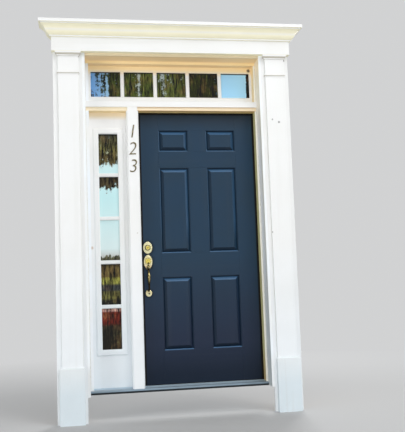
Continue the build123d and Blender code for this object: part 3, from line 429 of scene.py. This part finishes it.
def metal(name, bright, dull, amount, bump, rub=0.90, rings=(), metallic=1.0):
    """A bare metal, rubbed bright where it faces out of the door or into the room by more than rub and
    dark where it turns aside, partly tarnish and partly a painted dark reflection. A ring is a centre,
    a radius, a width, a colour and a strength; rings paint highlights, reflections and shade."""
    made, tree, shader = blank(name)
    spots = put(tree, "TexCoord").outputs
    facing = sums(tree, "ABSOLUTE", axes(tree, spots["Normal"])["Y"])
    face = use(tree, tarnish_reflection_tool, {
        "Place": spots["Object"], "Facing": facing, "Rub": rub, "Metal": bright,
        "Tarnish_and_shade": dull, "Amount": amount})
    colour = face["Color"]
    for centre, radius, width, tint, strength in rings:
        band = use(tree, ring_tool, {
            "Place": spots["Object"], "Centre": centre, "Radius": radius, "Width": width})
        colour = mixed(tree, sums(tree, "MULTIPLY", band["Mask"], strength), colour, tint)
    tree.links.new(colour, shader.inputs["Base Color"])
    tree.links.new(face["Roughness"], shader.inputs["Roughness"])
    shader.inputs["Metallic"].default_value = metallic
    bumped(tree, shader, face["Height"], strength=bump, distance=0.0003)
    return made


def window_glass(name, axis, low, high, amounts, skies, darks, blots, top):
    """Dark glass with a painted reflection of leaves and sky. Along one axis, amounts say how much sky
    shows between the leaves, skies how it is coloured and darks how the leaves are. Blots is how fine
    the leaves are, top the height of the painted dark reflection line under the frame."""
    made, tree, shader = blank(name)
    place = put(tree, "TexCoord").outputs["Object"]
    parts = axes(tree, place)
    run = mapped(tree, parts[axis], low, high)
    trunks = stretched(tree, place, (1.0, 1.0, 0.12))
    tall = noise(tree, trunks, scale=blots * 3.0, rough=0.65)
    leafy = noise(tree, place, scale=blots * 4.5, detail=8.0, rough=0.78)
    fine = noise(tree, trunks, scale=blots * 9.0, detail=6.0, rough=0.75)
    turning = noise(tree, place, scale=blots * 1.6, detail=3.0)
    both = sums(tree, "ADD", sums(tree, "MULTIPLY", tall, 0.45), sums(tree, "MULTIPLY", leafy, 0.55))
    spread = mapped(tree, both, 0.36, 0.64)
    open_sky = ramp(tree, run, [(spot, (level, level, level, 1)) for spot, level in amounts])
    wanted = sums(tree, "SUBTRACT", 1.0, open_sky)
    clear = mapped(tree, sums(tree, "SUBTRACT", spread, wanted), -0.06, 0.10)
    browned = mapped(tree, turning, 0.50, 0.62, 0.0, 0.35)
    foliage = mixed(tree, browned, ramp(tree, run, darks), reflected_leaf_brown)
    # Painted highlights on the reflected leaves
    lit = mixed(tree, mapped(tree, fine, 0.60, 0.70, 0.0, 0.45), foliage, reflected_leaf_highlight)
    leaves = mixed(tree, mapped(tree, fine, 0.42, 0.60), near_black, lit)
    picture = mixed(tree, clear, leaves, ramp(tree, run, skies))
    # A painted dark reflection line along the top of the pane
    edge = mapped(tree, parts["Z"], top - 0.012, top - 0.004)
    tree.links.new(mixed(tree, edge, picture, near_black), shader.inputs["Base Color"])
    shader.inputs["Roughness"].default_value = 0.05
    shader.inputs["IOR"].default_value = 1.5
    shader.inputs["Specular IOR Level"].default_value = 0.22
    return made


def soft_material(name, colour, second, scale, rough, bump):
    """Rubber, foam and caulk: cloudy colour with a fine grain."""
    made, tree, shader = blank(name)
    cloud = noise(tree, put(tree, "TexCoord").outputs["Object"], scale=scale, detail=5.0)
    cloudy = mixed(tree, mapped(tree, cloud, 0.4, 0.65), colour, second)
    tree.links.new(cloudy, shader.inputs["Base Color"])
    shader.inputs["Roughness"].default_value = rough
    bumped(tree, shader, cloud, strength=bump, distance=0.0004)
    return made


# Coats of paint: the paint, its second tone, its dirt

door_coat = (door_blue, door_second, door_dust)
trim_coat = (trim_white, trim_second, trim_grime)
# The reveals' coat: white paint drawn with painted warm bounce light
bounce_coat = (reveal_bounce_cream, reveal_bounce_second, reveal_grime)
lining_coat = (lining_white, lining_second, trim_grime)
sill_coat = (sill_grey, sill_second, sill_dirt)

# Limits of a zone: an axis, where the zone starts and where it is full, in metres along it, or for
# "right" and "up" by how far a face looks that way

moulding_top = ("up", 0.25, 0.45)
moulding_right = ("right", 0.25, 0.45)
moulding_under = ("up", -0.20, -0.40)
moulding_left = ("right", -0.20, -0.40)
soffit = ("up", -0.30, -0.60)
left_side = ("right", -0.40, -0.80)
before_door = ("Y", 0.1475, 0.1462)
leaf_face = ("Y", 0.160, 0.155)
beside_casing = ("Y", 0.0795, 0.081)
bar_foot = ("Z", 2.264, 2.2625)
over_door = ("X", -0.34, -0.33)

# Zones: limits, a colour and how much of it shows

pine_back = ((("Y", -0.0030, -0.0012),), bare_pine, 1.0)
# Painted cool shade low on the pilasters and the mullion
low_cool_shade = ((("Z", 1.30, 0.50),), trim_cool_shade, 0.7)
# Greyer where faces look up
grey_ledges = ((("up", 0.30, 0.60),), trim_ledge_grey, 0.6)
# Painted shade where faces look down
under_shade = ((("up", -0.15, -0.55),), trim_under_shade, 0.9)
# Painted warm bounce light where the frieze and crown look down
under_warm_bounce = ((("up", -0.15, -0.55),), trim_warm_bounce, 1.0)

# The leaf's painted light: painted shade at its head and towards its foot, painted highlights where
# its mouldings look up or right, painted shade where they look down or left, and a black painted
# shadow line round its edge
door_painted_light = [
    ((("Z", 2.11, 2.20),), door_top_shade, 0.7),
    ((("Z", 1.15, 0.55),), door_low_shade, 0.9),
    ((("Z", 0.50, 0.28),), door_foot_shade, 0.9),
    ((moulding_top,), door_highlight_top, 0.9),
    ((moulding_right, ("Z", 1.25, 1.40)), door_highlight_side, 0.6),
    ((moulding_under,), door_shade_under, 0.8),
    ((moulding_left,), door_shade_side, 0.7),
    # Black painted shadow lines where the leaf meets its stops
    ((("X", -0.2395, -0.2410), ("X", -0.2545, -0.2530), leaf_face), black, 1.0),
    ((("X", 0.6180, 0.6195), ("X", 0.6365, 0.6345), leaf_face), black, 1.0),
    ((("Z", 2.2205, 2.2225), ("Z", 2.2395, 2.2380), leaf_face), black, 1.0),
]
plinth_zones = [
    pine_back,
    # Painted cool shade low on the plinths
    ((("Z", 0.55, 0.20),), plinth_cool_shade, 0.9),
]
# The right jamb: painted olive shade on its stop beside the door, brown at the foot, pale on its front
jamb_zones = [
    ((left_side, before_door, ("Z", 2.32, 2.30)), reveal_olive_shade, 1.0),
    ((("Z", 0.45, 0.25), left_side, before_door), reveal_brown, 0.7),
    ((("Y", 0.0815, 0.0808),), reveal_edge, 1.0),
]
# The head: painted warm bounce light on the soffit, painted tan shade towards the front, and painted
# shade on its front edge
head_zones = [
    ((soffit,), reveal_bounce_warm, 0.9),
    ((soffit, ("Y", -0.008, -0.022)), reveal_tan_shade, 0.35),
    ((("Y", -0.0365, -0.0378),), reveal_buff_shade, 1.0),
]
# The linings: painted shade on their front half, painted warm bounce light high up, painted cool shade
# lower down
lining_zones = [
    ((("Y", 0.020, -0.020), left_side), lining_front_shade, 0.7),
    ((("Z", 2.00, 2.45), left_side), lining_warm_bounce, 0.9),
    ((("Z", 1.40, 0.60), left_side), lining_cool_shade, 0.9),
]
# The bar: painted warm bounce light on the step under its casing, and over the door a painted gold
# bounce on the soffit with painted brown shade at its edges
bar_zones = [
    ((beside_casing, bar_foot), reveal_bounce_cream, 1.0),
    ((beside_casing, ("Z", 2.2430, 2.2405), over_door), reveal_shade, 0.7),
    ((soffit, bar_foot, over_door), reveal_bounce_gold, 1.0),
    ((soffit, bar_foot, ("Y", 0.099, 0.094), over_door), reveal_shade, 1.0),
]
# Painted warm bounce light along the top of the sash
sash_zones = [
    ((("Z", 2.520, 2.575),), reveal_bounce_cream, 1.0),
]
# The sidelight's panel: painted cool shade low down, painted light over the bar's shadow, and a painted
# warm bounce band under the bar
panel_zones = [
    ((("Z", 1.30, 0.60),), panel_cool_shade, 0.7),
    ((("Z", 1.95, 2.15),), white, 0.9),
    ((("Z", 2.180, 2.218),), panel_warm_bounce, 0.95),
]
# The sill: painted light on its top by the door, a painted shadow line under its nose
sill_zones = [
    ((("up", 0.50, 0.90), ("Y", 0.080, 0.110)), sill_painted_light, 0.9),
    ((("Z", 0.1925, 0.1900), ("Y", 0.066, 0.062)), sill_shadow_line, 1.0),
]

# Marks: a centre, a radius, a colour and a strength. Most are stains; round the lock they are painted
# shadow

# Painted shadow round the lock's plates
lock_painted_shadow = [((lock_x, door_face_y - 0.006, z), radius, black, 0.9) for z, radius in (
    (deadbolt_z + 0.012, 0.046), (deadbolt_z - 0.014, 0.046),
    (1.128, 0.045), (1.092, 0.045), (0.878, 0.036))]
pilaster_nails = [
    ((0.783, pilaster_face_y, 2.122), 0.009, nail_grey, 0.9),
    ((0.733, pilaster_face_y, 2.142), 0.007, nail_grey, 0.8),
    ((0.845, board_front_y, 2.601), 0.008, nail_grey, 0.9),
    ((0.694, pilaster_face_y, 1.296), 0.007, nail_grey, 0.8),
]
mullion_chip = [((-0.2885, casing_front_y, 1.321), 0.005, trim_grime, 0.8)]
bar_rust = [((0.566, casing_front_y, 2.311), 0.006, rust, 0.7)]
sash_soot = [((0.612, stop_back_y, 2.576), 0.015, near_black, 0.95)]
panel_rust = [((-0.6186, stop_back_y, 1.2245), 0.012, rust, 0.6)]

# Rings on the brass, which paint highlights, reflections and shade: a centre, a radius, a width,
# a colour and a strength

collar_painted_light = [
    ((lock_x, 0.140, deadbolt_z), 0.0340, 0.0160, brass_highlight_pale, 0.9),
    ((lock_x, 0.140, deadbolt_z), 0.0, 0.0165, brass_reflection_yellow, 0.9),
    ((lock_x, 0.140, deadbolt_z), 0.0180, 0.0026, brass_tarnish_and_shade, 1.0),
    ((lock_x, 0.136, deadbolt_z - 0.001), 0.0, 0.0042, brass_tarnish_and_shade, 0.9),
]
plate_painted_light = [
    ((lock_x, 0.142, 1.122), 0.0360, 0.0120, brass_highlight_pale, 0.6),
    ((lock_x, 0.142, 1.116), 0.0, 0.0250, brass_reflection_yellow, 0.9),
    ((lock_x, 0.142, 1.116), 0.0220, 0.0020, brass_tarnish_and_shade, 0.5),
    ((lock_x + 0.002, 0.142, 1.100), 0.0, 0.0090, brass_tarnish_and_shade, 0.9),
    ((lock_x - 0.017, 0.142, 1.080), 0.0, 0.0100, brass_highlight_pink, 0.8),
    ((lock_x + 0.017, 0.142, 1.080), 0.0, 0.0100, brass_highlight_pink, 0.8),
    ((lock_x, 0.142, 1.062), 0.0, 0.0170, brass_tarnish_and_shade, 0.95),
]
rosette_painted_light = [
    ((lock_x, 0.144, 0.868), 0.0, 0.0180, brass_highlight_pale, 0.9),
    ((lock_x - 0.003, 0.144, 0.898), 0.0, 0.0100, brass_tarnish_and_shade, 0.9),
    ((lock_x + 0.003, 0.144, 0.877), 0.0, 0.0080, brass_tarnish_and_shade, 0.95),
]
grip_painted_shade = [
    ((lock_x, 0.110, 0.935), 0.0, 0.0450, brass_tarnish_and_shade, 0.95),
    ((lock_x, 0.120, 0.905), 0.0, 0.0260, brass_tarnish_and_shade, 0.9),
    ((lock_x, 0.125, 1.040), 0.0, 0.0140, brass_tarnish_and_shade, 0.8),
]

# Painted reflections on the panes, from the foot up in the sidelight and from left to right in the
# transom

side_glass_z = (0.483, 2.075)
side_amounts = [
    (0.0, 0.0), (0.405, 0.0), (0.418, 0.30), (0.435, 0.85), (0.455, 1.1), (0.710, 1.1),
    (0.732, 0.72), (0.758, 0.20), (0.797, 0.12), (0.814, 1.1), (0.838, 0.85), (0.860, 0.36),
    (0.920, 0.22), (1.0, 0.20)]
side_skies = [
    (0.0, (0.30, 0.26, 0.18, 1)), (0.40, (0.34, 0.34, 0.26, 1)), (0.43, (0.60, 0.64, 0.62, 1)),
    (0.46, (0.74, 0.88, 0.88, 1)), (0.70, (0.60, 0.88, 0.90, 1)), (0.85, (0.66, 0.88, 0.90, 1)),
    (0.90, (0.48, 0.50, 0.32, 1)), (1.0, (0.20, 0.24, 0.26, 1))]
side_leaves = [
    (0.0, (0.03, 0.024, 0.010, 1)), (0.105, (0.035, 0.028, 0.014, 1)),
    (0.118, (0.20, 0.018, 0.008, 1)), (0.168, (0.26, 0.028, 0.012, 1)),
    (0.176, (0.85, 0.50, 0.42, 1)), (0.200, near_black), (0.222, (0.03, 0.03, 0.02, 1)),
    (0.235, (0.22, 0.21, 0.05, 1)), (0.262, (0.18, 0.17, 0.05, 1)),
    (0.270, (0.07, 0.08, 0.08, 1)), (0.292, (0.07, 0.08, 0.08, 1)),
    (0.300, (0.50, 0.50, 0.10, 1)), (0.322, (0.46, 0.44, 0.08, 1)),
    (0.332, (0.20, 0.14, 0.04, 1)), (0.372, (0.18, 0.13, 0.04, 1)),
    (0.390, (0.03, 0.02, 0.01, 1)), (0.42, (0.16, 0.16, 0.09, 1)),
    (0.74, (0.12, 0.09, 0.04, 1)), (0.797, (0.06, 0.045, 0.02, 1)),
    (0.85, (0.16, 0.11, 0.04, 1)), (0.93, (0.26, 0.24, 0.07, 1)), (1.0, (0.05, 0.05, 0.04, 1))]
transom_glass_x = (-0.604, 0.616)
transom_top_z = 2.553
transom_amounts = [
    (0.0, 0.62), (0.05, 0.72), (0.10, 0.55), (0.13, 0.20), (0.18, 0.10), (0.24, 0.10),
    (0.265, 0.45), (0.30, 0.40), (0.32, 0.12), (0.40, 0.12), (0.44, 0.48), (0.49, 0.38),
    (0.53, 0.22), (0.59, 0.16), (0.61, 0.0), (0.80, 0.0), (0.81, 1.2), (0.975, 1.2), (0.985, 0.0)]
transom_skies = [
    (0.0, (0.14, 0.34, 0.70, 1)), (0.10, (0.30, 0.52, 0.74, 1)), (0.20, (0.30, 0.36, 0.28, 1)),
    (0.30, (0.38, 0.44, 0.42, 1)), (0.50, (0.36, 0.44, 0.46, 1)), (0.60, (0.20, 0.22, 0.10, 1)),
    (0.80, (0.36, 0.68, 0.96, 1)), (1.0, (0.42, 0.76, 1.0, 1))]
transom_leaves = [
    (0.0, (0.03, 0.045, 0.04, 1)), (0.12, (0.06, 0.085, 0.015, 1)),
    (0.30, (0.10, 0.14, 0.02, 1)), (0.50, (0.12, 0.15, 0.03, 1)),
    (0.60, (0.05, 0.06, 0.008, 1)), (0.79, (0.025, 0.03, 0.005, 1)), (0.80, near_black)]

# Finishes

paint_tool = paint_group()
tarnish_reflection_tool = tarnish_reflection_group()
mark_tool = mark_group()
ring_tool = ring_group()

materials = {
    "door_up": painted("door_blue_up", door_coat, "up", mottle=0.6, dirt=0.15,
                       marks=lock_painted_shadow, zones=door_painted_light),
    "door_across": painted("door_blue_across", door_coat, "across", mottle=0.6, dirt=0.15,
                           zones=door_painted_light),
    "plinth": painted("plinth_white", trim_coat, "up", mottle=0.6, dirt=0.3, zones=plinth_zones),
    "trim_across": painted("trim_white_across", trim_coat, "across", zones=[pine_back, under_warm_bounce]),
    # The right jamb and the head in the painted warm bounce coat
    "bounce_up": painted("reveal_bounce_up", bounce_coat, "up", zones=jamb_zones),
    "bounce_across": painted("reveal_bounce_across", bounce_coat, "across", zones=head_zones),
    "lining": painted("lining_white", lining_coat, "up", mottle=0.7, dirt=0.2, zones=lining_zones),
    "pilaster": painted("pilaster_white", trim_coat, "up", marks=pilaster_nails,
                        zones=[low_cool_shade, pine_back, grey_ledges, under_shade]),
    "mullion": painted("mullion_white", trim_coat, "up", marks=mullion_chip, zones=[low_cool_shade]),
    "bar": painted("bar_white", trim_coat, "across", marks=bar_rust, zones=bar_zones),
    "sash": painted("sash_white", trim_coat, "across", marks=sash_soot, zones=sash_zones),
    "panel": painted("panel_white", trim_coat, "up", mottle=0.6, dirt=0.08,
                     marks=panel_rust, zones=panel_zones),
    "sill": painted("sill_grey", sill_coat, "across", mottle=0.8, dirt=0.25, zones=sill_zones),
    # The brass: its rings paint highlights, reflections and shade
    "brass": metal("brass_tarnished", brass_bright, brass_tarnish_and_shade, amount=0.85, bump=0.12, rub=0.80,
                   rings=collar_painted_light + plate_painted_light + rosette_painted_light, metallic=0.75),
    # The grip: dark but for a bright ridge, partly tarnish and partly a painted dark reflection
    "grip_brass": metal("brass_grip", brass_grip, brass_tarnish_and_shade, amount=0.96, bump=0.12, rub=1.12,
                        rings=grip_painted_shade),
    "number": metal("number_bronze", number_bronze, brass_tarnish_and_shade, amount=0.4, bump=0.2),
    "steel": metal("steel_zinc", steel_grey, steel_dark, amount=0.4, bump=0.12),
    "rubber": soft_material("rubber_black", rubber_black, rubber_dust, scale=220, rough=0.75, bump=0.3),
    "foam": soft_material("foam_strip", foam_brown, foam_light, scale=300, rough=0.85, bump=0.5),
    "caulk": soft_material("caulk_white", caulk_white, caulk_grey, scale=40, rough=0.6, bump=0.2),
    "side_glass": window_glass("glass_side", "Z", *side_glass_z, side_amounts, side_skies,
                               side_leaves, blots=8.0, top=side_glass_z[1]),
    "transom_glass": window_glass("glass_transom", "X", *transom_glass_x, transom_amounts,
                                  transom_skies, transom_leaves, blots=9.0, top=transom_top_z),
}


def dress(names, material):
    """Gives CAD nodes a material."""
    for name in names:
        mesh = nodes[name].data
        mesh.materials.clear()
        mesh.materials.append(materials[material])


def dress_all():
    """The finish of every CAD node."""
    panels = [f"{row}_panel_{side}" for row in ("lower", "tall", "upper") for side in ("left", "right")]
    dress([n for n in nodes if n.endswith("_stile")] + panels, "door_up")
    dress([n for n in nodes if n.endswith("_rail")], "door_across")
    dress(["right_jamb"], "bounce_up")
    dress(["right_lining", "left_lining", "left_jamb"], "lining")
    dress(["head_lining", "head_jamb"], "bounce_across")
    dress(["mullion"], "mullion")
    dress(["transom_bar"], "bar")
    dress(["transom_sash"], "sash")
    dress(["frieze", "crown"], "trim_across")
    dress(["sidelight_panel", "sidelight_frame_outside", "sidelight_frame_inside"], "panel")
    dress([n for n in nodes if n.startswith(("right_pilaster", "left_pilaster"))], "pilaster")
    dress(["right_plinth", "left_plinth"], "plinth")
    dress(["sill", "threshold_cap"], "sill")
    dress(["grip"], "grip_brass")
    dress(["deadbolt_collar", "key_plug", "handle_plate", "thumb_piece", "lower_rosette",
           "knob_rose", "inside_knob", "turn_plate", "thumb_turn", "hinge_leaves_on_door",
           "hinge_leaves_on_jamb", "hinge_pins", "latch_strike", "deadbolt_strike"], "brass")
    dress(["latch_case", "latch_bolt", "deadbolt_case", "deadbolt"], "steel")
    dress(["door_sweep"], "rubber")
    dress(["weatherstrips"], "foam")
    dress(["sidelight_glass"], "side_glass")
    dress(["transom_glass"], "transom_glass")


# Small pieces

def clear_selection():
    """Nothing stays selected, so an operator acts on the new piece alone."""
    bpy.ops.object.select_all(action="DESELECT")


def pick(piece, test):
    """Selects only the faces that pass a test, in edit mode."""
    bpy.ops.mesh.select_mode(type="FACE")
    bpy.ops.mesh.select_all(action="DESELECT")
    shell = bmesh.from_edit_mesh(piece.data)
    shell.faces.ensure_lookup_table()
    for face in shell.faces:
        face.select_set(test(face))
    bmesh.update_edit_mesh(piece.data)


def faces_up(face):
    """Whether a face is the top of a piece that lies flat."""
    return face.normal.z > 0.9


def finish_piece(piece, name, material, body, place):
    """Puts a finished piece at its place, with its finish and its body."""
    piece.data.transform(place)
    piece.name = name
    piece.data.name = name
    piece.data.materials.clear()
    piece.data.materials.append(materials[material])
    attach(piece, body)


def flat_screw():
    """A flat-headed screw with a cross in its head, its face up and level with the floor of the sheet."""
    head_radius, head_height, head_middle_z = 0.0040, 0.0020, -0.0008
    cross_size = (0.0046, 0.0010, 0.0014)
    clear_selection()
    bpy.ops.mesh.primitive_cylinder_add(vertices=20, radius=head_radius, depth=head_height,
                                        location=(0, 0, head_middle_z))
    head = bpy.context.object
    bpy.ops.object.mode_set(mode="EDIT")
    pick(head, faces_up)
    bpy.ops.mesh.bevel(offset=0.0003, segments=2, affect="EDGES")
    bpy.ops.object.mode_set(mode="OBJECT")
    clear_selection()
    bpy.ops.mesh.primitive_cube_add(size=1, location=(0, 0, 0), scale=cross_size)
    cross = bpy.context.object
    bpy.ops.object.transform_apply(location=False, rotation=False, scale=True)
    bpy.ops.object.mode_set(mode="EDIT")
    bpy.ops.mesh.select_all(action="SELECT")
    bpy.ops.mesh.duplicate()
    bpy.ops.transform.rotate(value=math.pi / 2, orient_axis="Z", center_override=(0, 0, 0))
    bpy.ops.object.mode_set(mode="OBJECT")
    cut = head.modifiers.new("cross", "BOOLEAN")
    cut.operation = "DIFFERENCE"
    cut.use_self = True
    cut.object = cross
    clear_selection()
    bpy.context.view_layer.objects.active = head
    bpy.ops.object.modifier_apply(modifier="cross")
    bpy.data.objects.remove(cross)
    return head


def plug_cap():
    """A round cap pressed over a screw hole, with a soft edge and a shallow dish."""
    cap_radius, cap_height, cap_middle_z = 0.0052, 0.0012, 0.0004
    rim_width, dish_depth = 0.0016, 0.0002
    clear_selection()
    bpy.ops.mesh.primitive_cylinder_add(vertices=20, radius=cap_radius, depth=cap_height,
                                        location=(0, 0, cap_middle_z))
    cap = bpy.context.object
    bpy.ops.object.mode_set(mode="EDIT")
    pick(cap, faces_up)
    bpy.ops.mesh.bevel(offset=0.0005, segments=3, affect="EDGES")
    pick(cap, faces_up)
    bpy.ops.mesh.inset(thickness=rim_width)
    bpy.ops.transform.translate(value=(0, 0, -dish_depth))
    bpy.ops.object.mode_set(mode="OBJECT")
    bpy.ops.object.shade_smooth_by_angle(angle=math.radians(35))
    return cap


def copies(model, name, places, material, body):
    """Copies of one piece, each with its own mesh, at its places."""
    for number, place in enumerate(places, 1):
        twin = bpy.data.objects.new(name, model.data.copy())
        scene.collection.objects.link(twin)
        finish_piece(twin, f"{name}_{number}", material, body, place)


def placed(x, y, z, toward, spin=0.0):
    """A place on a face that looks along an axis, such as "-X", turned in its own plane."""
    way = {"-X": (-1, 0, 0), "X": (1, 0, 0), "Y": (0, 1, 0), "Z": (0, 0, 1)}[toward]
    turn = Vector((0, 0, 1)).rotation_difference(Vector(way)).to_matrix().to_4x4()
    return Matrix.Translation((x, y, z)) @ turn @ Matrix.Rotation(spin, 4, "Z")


def screws():
    """Screws in the hinges, the faceplates, the strikes and the threshold."""
    hinge_pattern = ((-0.038, 0.171), (-0.014, 0.185), (0.014, 0.171), (0.038, 0.185))
    plate_pattern = (-0.0215, 0.0215)
    threshold_x, threshold_y, threshold_z = (-0.24, 0.05, 0.34, 0.61), 0.168, 0.2095
    model = flat_screw()
    rough = random.Random(4)

    def at(points, toward):
        return [placed(*point, toward, rough.uniform(0, math.pi)) for point in points]

    hinge_rows = [(y, z + up) for z in hinge_heights for up, y in hinge_pattern]
    middle_y = (door_face_y + door_back_y) / 2
    plate_rows = [(middle_y, z + up) for z in (latch_z, deadbolt_z) for up in plate_pattern]
    sets = [
        ("door_hinge_screw", [(door_edge_x[1], *row) for row in hinge_rows], "X", "brass", "door"),
        ("jamb_hinge_screw", [(rabbet_x[1], *row) for row in hinge_rows], "-X", "brass", "frame"),
        ("faceplate_screw", [(door_edge_x[0], *row) for row in plate_rows], "-X", "steel", "door"),
        ("strike_screw", [(rabbet_x[0], *row) for row in plate_rows], "X", "brass", "frame"),
        ("threshold_screw", [(x, threshold_y, threshold_z) for x in threshold_x], "Z", "steel", "frame"),
    ]
    for name, points, toward, finish, body in sets:
        copies(model, name, at(points, toward), finish, body)
    bpy.data.objects.remove(model)


def frame_caps():
    """Caps over the screws that draw the two halves of the sidelight's frame together."""
    inset, rows = 0.0215, 7
    model = plug_cap()
    low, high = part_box("sidelight_frame_inside")
    rise = high[2] - low[2] - 2 * inset
    heights = [low[2] + inset + row * rise / (rows - 1) for row in range(rows)]
    places = [placed(x, high[1], z, "Y") for x in (low[0] + inset, high[0] - inset) for z in heights]
    copies(model, "frame_cap", places, "panel", "frame")
    bpy.data.objects.remove(model)


def caulk_bead(name, start, end, radius, seed, finish="caulk"):
    """A run of caulk along a joint: a ring extruded in steps, a little fuller here and thinner there."""
    step_length, tip = 0.07, 0.6
    thin, full = 0.85, 1.12
    rough = random.Random(seed)
    run = Vector(end) - Vector(start)
    steps = max(6, int(run.length / step_length))
    stride = run.length / steps
    clear_selection()
    bpy.ops.mesh.primitive_circle_add(vertices=10, radius=radius * tip, fill_type="NGON",
                                      location=(0, 0, 0))
    bead = bpy.context.object
    bpy.ops.object.mode_set(mode="EDIT")
    bpy.ops.mesh.select_all(action="SELECT")
    width = tip
    for step in range(1, steps + 1):
        bpy.ops.mesh.extrude_region_move(TRANSFORM_OT_translate={"value": (0, 0, stride)})
        wanted = tip if step == steps else rough.uniform(thin, full)
        grow = wanted / width
        bpy.ops.transform.resize(value=(grow, grow, 1), center_override=(0, 0, step * stride))
        width = wanted
    bpy.ops.mesh.select_all(action="SELECT")
    bpy.ops.mesh.normals_make_consistent(inside=False)
    bpy.ops.object.mode_set(mode="OBJECT")
    bpy.ops.object.shade_smooth_by_angle(angle=math.radians(60))
    turn = Vector((0, 0, 1)).rotation_difference(run).to_matrix().to_4x4()
    finish_piece(bead, name, finish, "frame", Matrix.Translation(start) @ turn)


def caulk():
    """Beads where the linings meet the frame, under the transom's sash and where the pilasters'
    boards meet."""
    low_z, top_z = 0.213, 2.6155
    corner_x, corner_y = 0.6465, frame_front_y - 0.0005
    bar_y, bar_z = 0.1455, 2.3115
    corner_radius, bar_radius, board_radius = 0.0028, 0.0020, 0.0014
    board_z = (0.39, 2.46)
    board_x = (0.693, 0.839)
    for name, x, seed in (("caulk_right_reveal", corner_x, 1), ("caulk_left_reveal", -corner_x, 2)):
        caulk_bead(name, (x, corner_y, low_z), (x, corner_y, top_z), corner_radius, seed)
    # The head's bead in the painted warm bounce coat
    caulk_bead("caulk_head", (-0.645, corner_y, top_z), (0.645, corner_y, top_z),
               corner_radius, 3, finish="bounce_across")
    caulk_bead("caulk_bar", (-0.622, bar_y, bar_z), (0.633, bar_y, bar_z), bar_radius, 4)
    for side, seed in ((1, 5), (-1, 7)):
        for part, x in enumerate(board_x):
            caulk_bead(f"caulk_pilaster_{('inner', 'outer')[part]}_{seed}",
                       (side * x, board_front_y, board_z[0]), (side * x, board_front_y, board_z[1]),
                       board_radius, seed + part)


def house_numbers():
    """Three plain slanted digits, cut from bronze and pinned to the casing beside the door."""
    height, thick = 0.095, 0.0035
    narrow, lean, thinner = 0.92, 0.16, -0.020
    places_z = {"1": 2.079, "2": 1.949, "3": 1.819}
    for digit, middle_z in places_z.items():
        clear_selection()
        bpy.ops.object.text_add(location=(0, 0, 0))
        text = bpy.context.object
        text.data.body = digit
        text.data.offset = thinner
        text.data.extrude = 0.02
        text.data.bevel_depth = 0.006
        text.data.bevel_resolution = 2
        bpy.ops.object.convert(target="MESH")
        number = bpy.context.object
        shape = [v.co for v in number.data.vertices]
        low = [min(co[i] for co in shape) for i in range(3)]
        high = [max(co[i] for co in shape) for i in range(3)]
        scale = height / (high[1] - low[1])
        centre = Matrix.Translation([-(a + b) / 2 for a, b in zip(low, high)])
        size = Matrix.Diagonal((scale * narrow, scale, thick / (high[2] - low[2]), 1))
        slant = Matrix.Identity(4)
        slant[0][1] = lean
        stand = Matrix.Rotation(math.pi / 2, 4, "X")
        place = Matrix.Translation((casing_middle_x, casing_front_y - thick / 2, middle_z))
        finish_piece(number, "house_number_" + digit, "number", "frame",
                     place @ stand @ slant @ size @ centre)


dress_all()
camera()
world_light()
floor()
lamp("key", (5.4, -8.2, 7.6), (0, 0, 1.3), size=4.0, power=256)
lamp("overhead", (0.8, -2.3, 6.2), (0, 0, 1.6), size=3.0, power=82)
lamp("side", (5.4, -2.4, 2.6), (0, 0, 1.4), size=3.0, power=48)
lamp("fill", (-6.4, -4.6, 1.0), (0, 0, 1.5), size=3.5, power=236, mirrored=False)
lamp("low", (0.2, -6.5, 0.4), (0, 0, 2.2), size=3.0, power=140, mirrored=False)
lamp("back", (3.0, 6.6, 5.0), (0, 0, 1.4), size=3.0, power=380)
screws()
frame_caps()
caulk()
house_numbers()
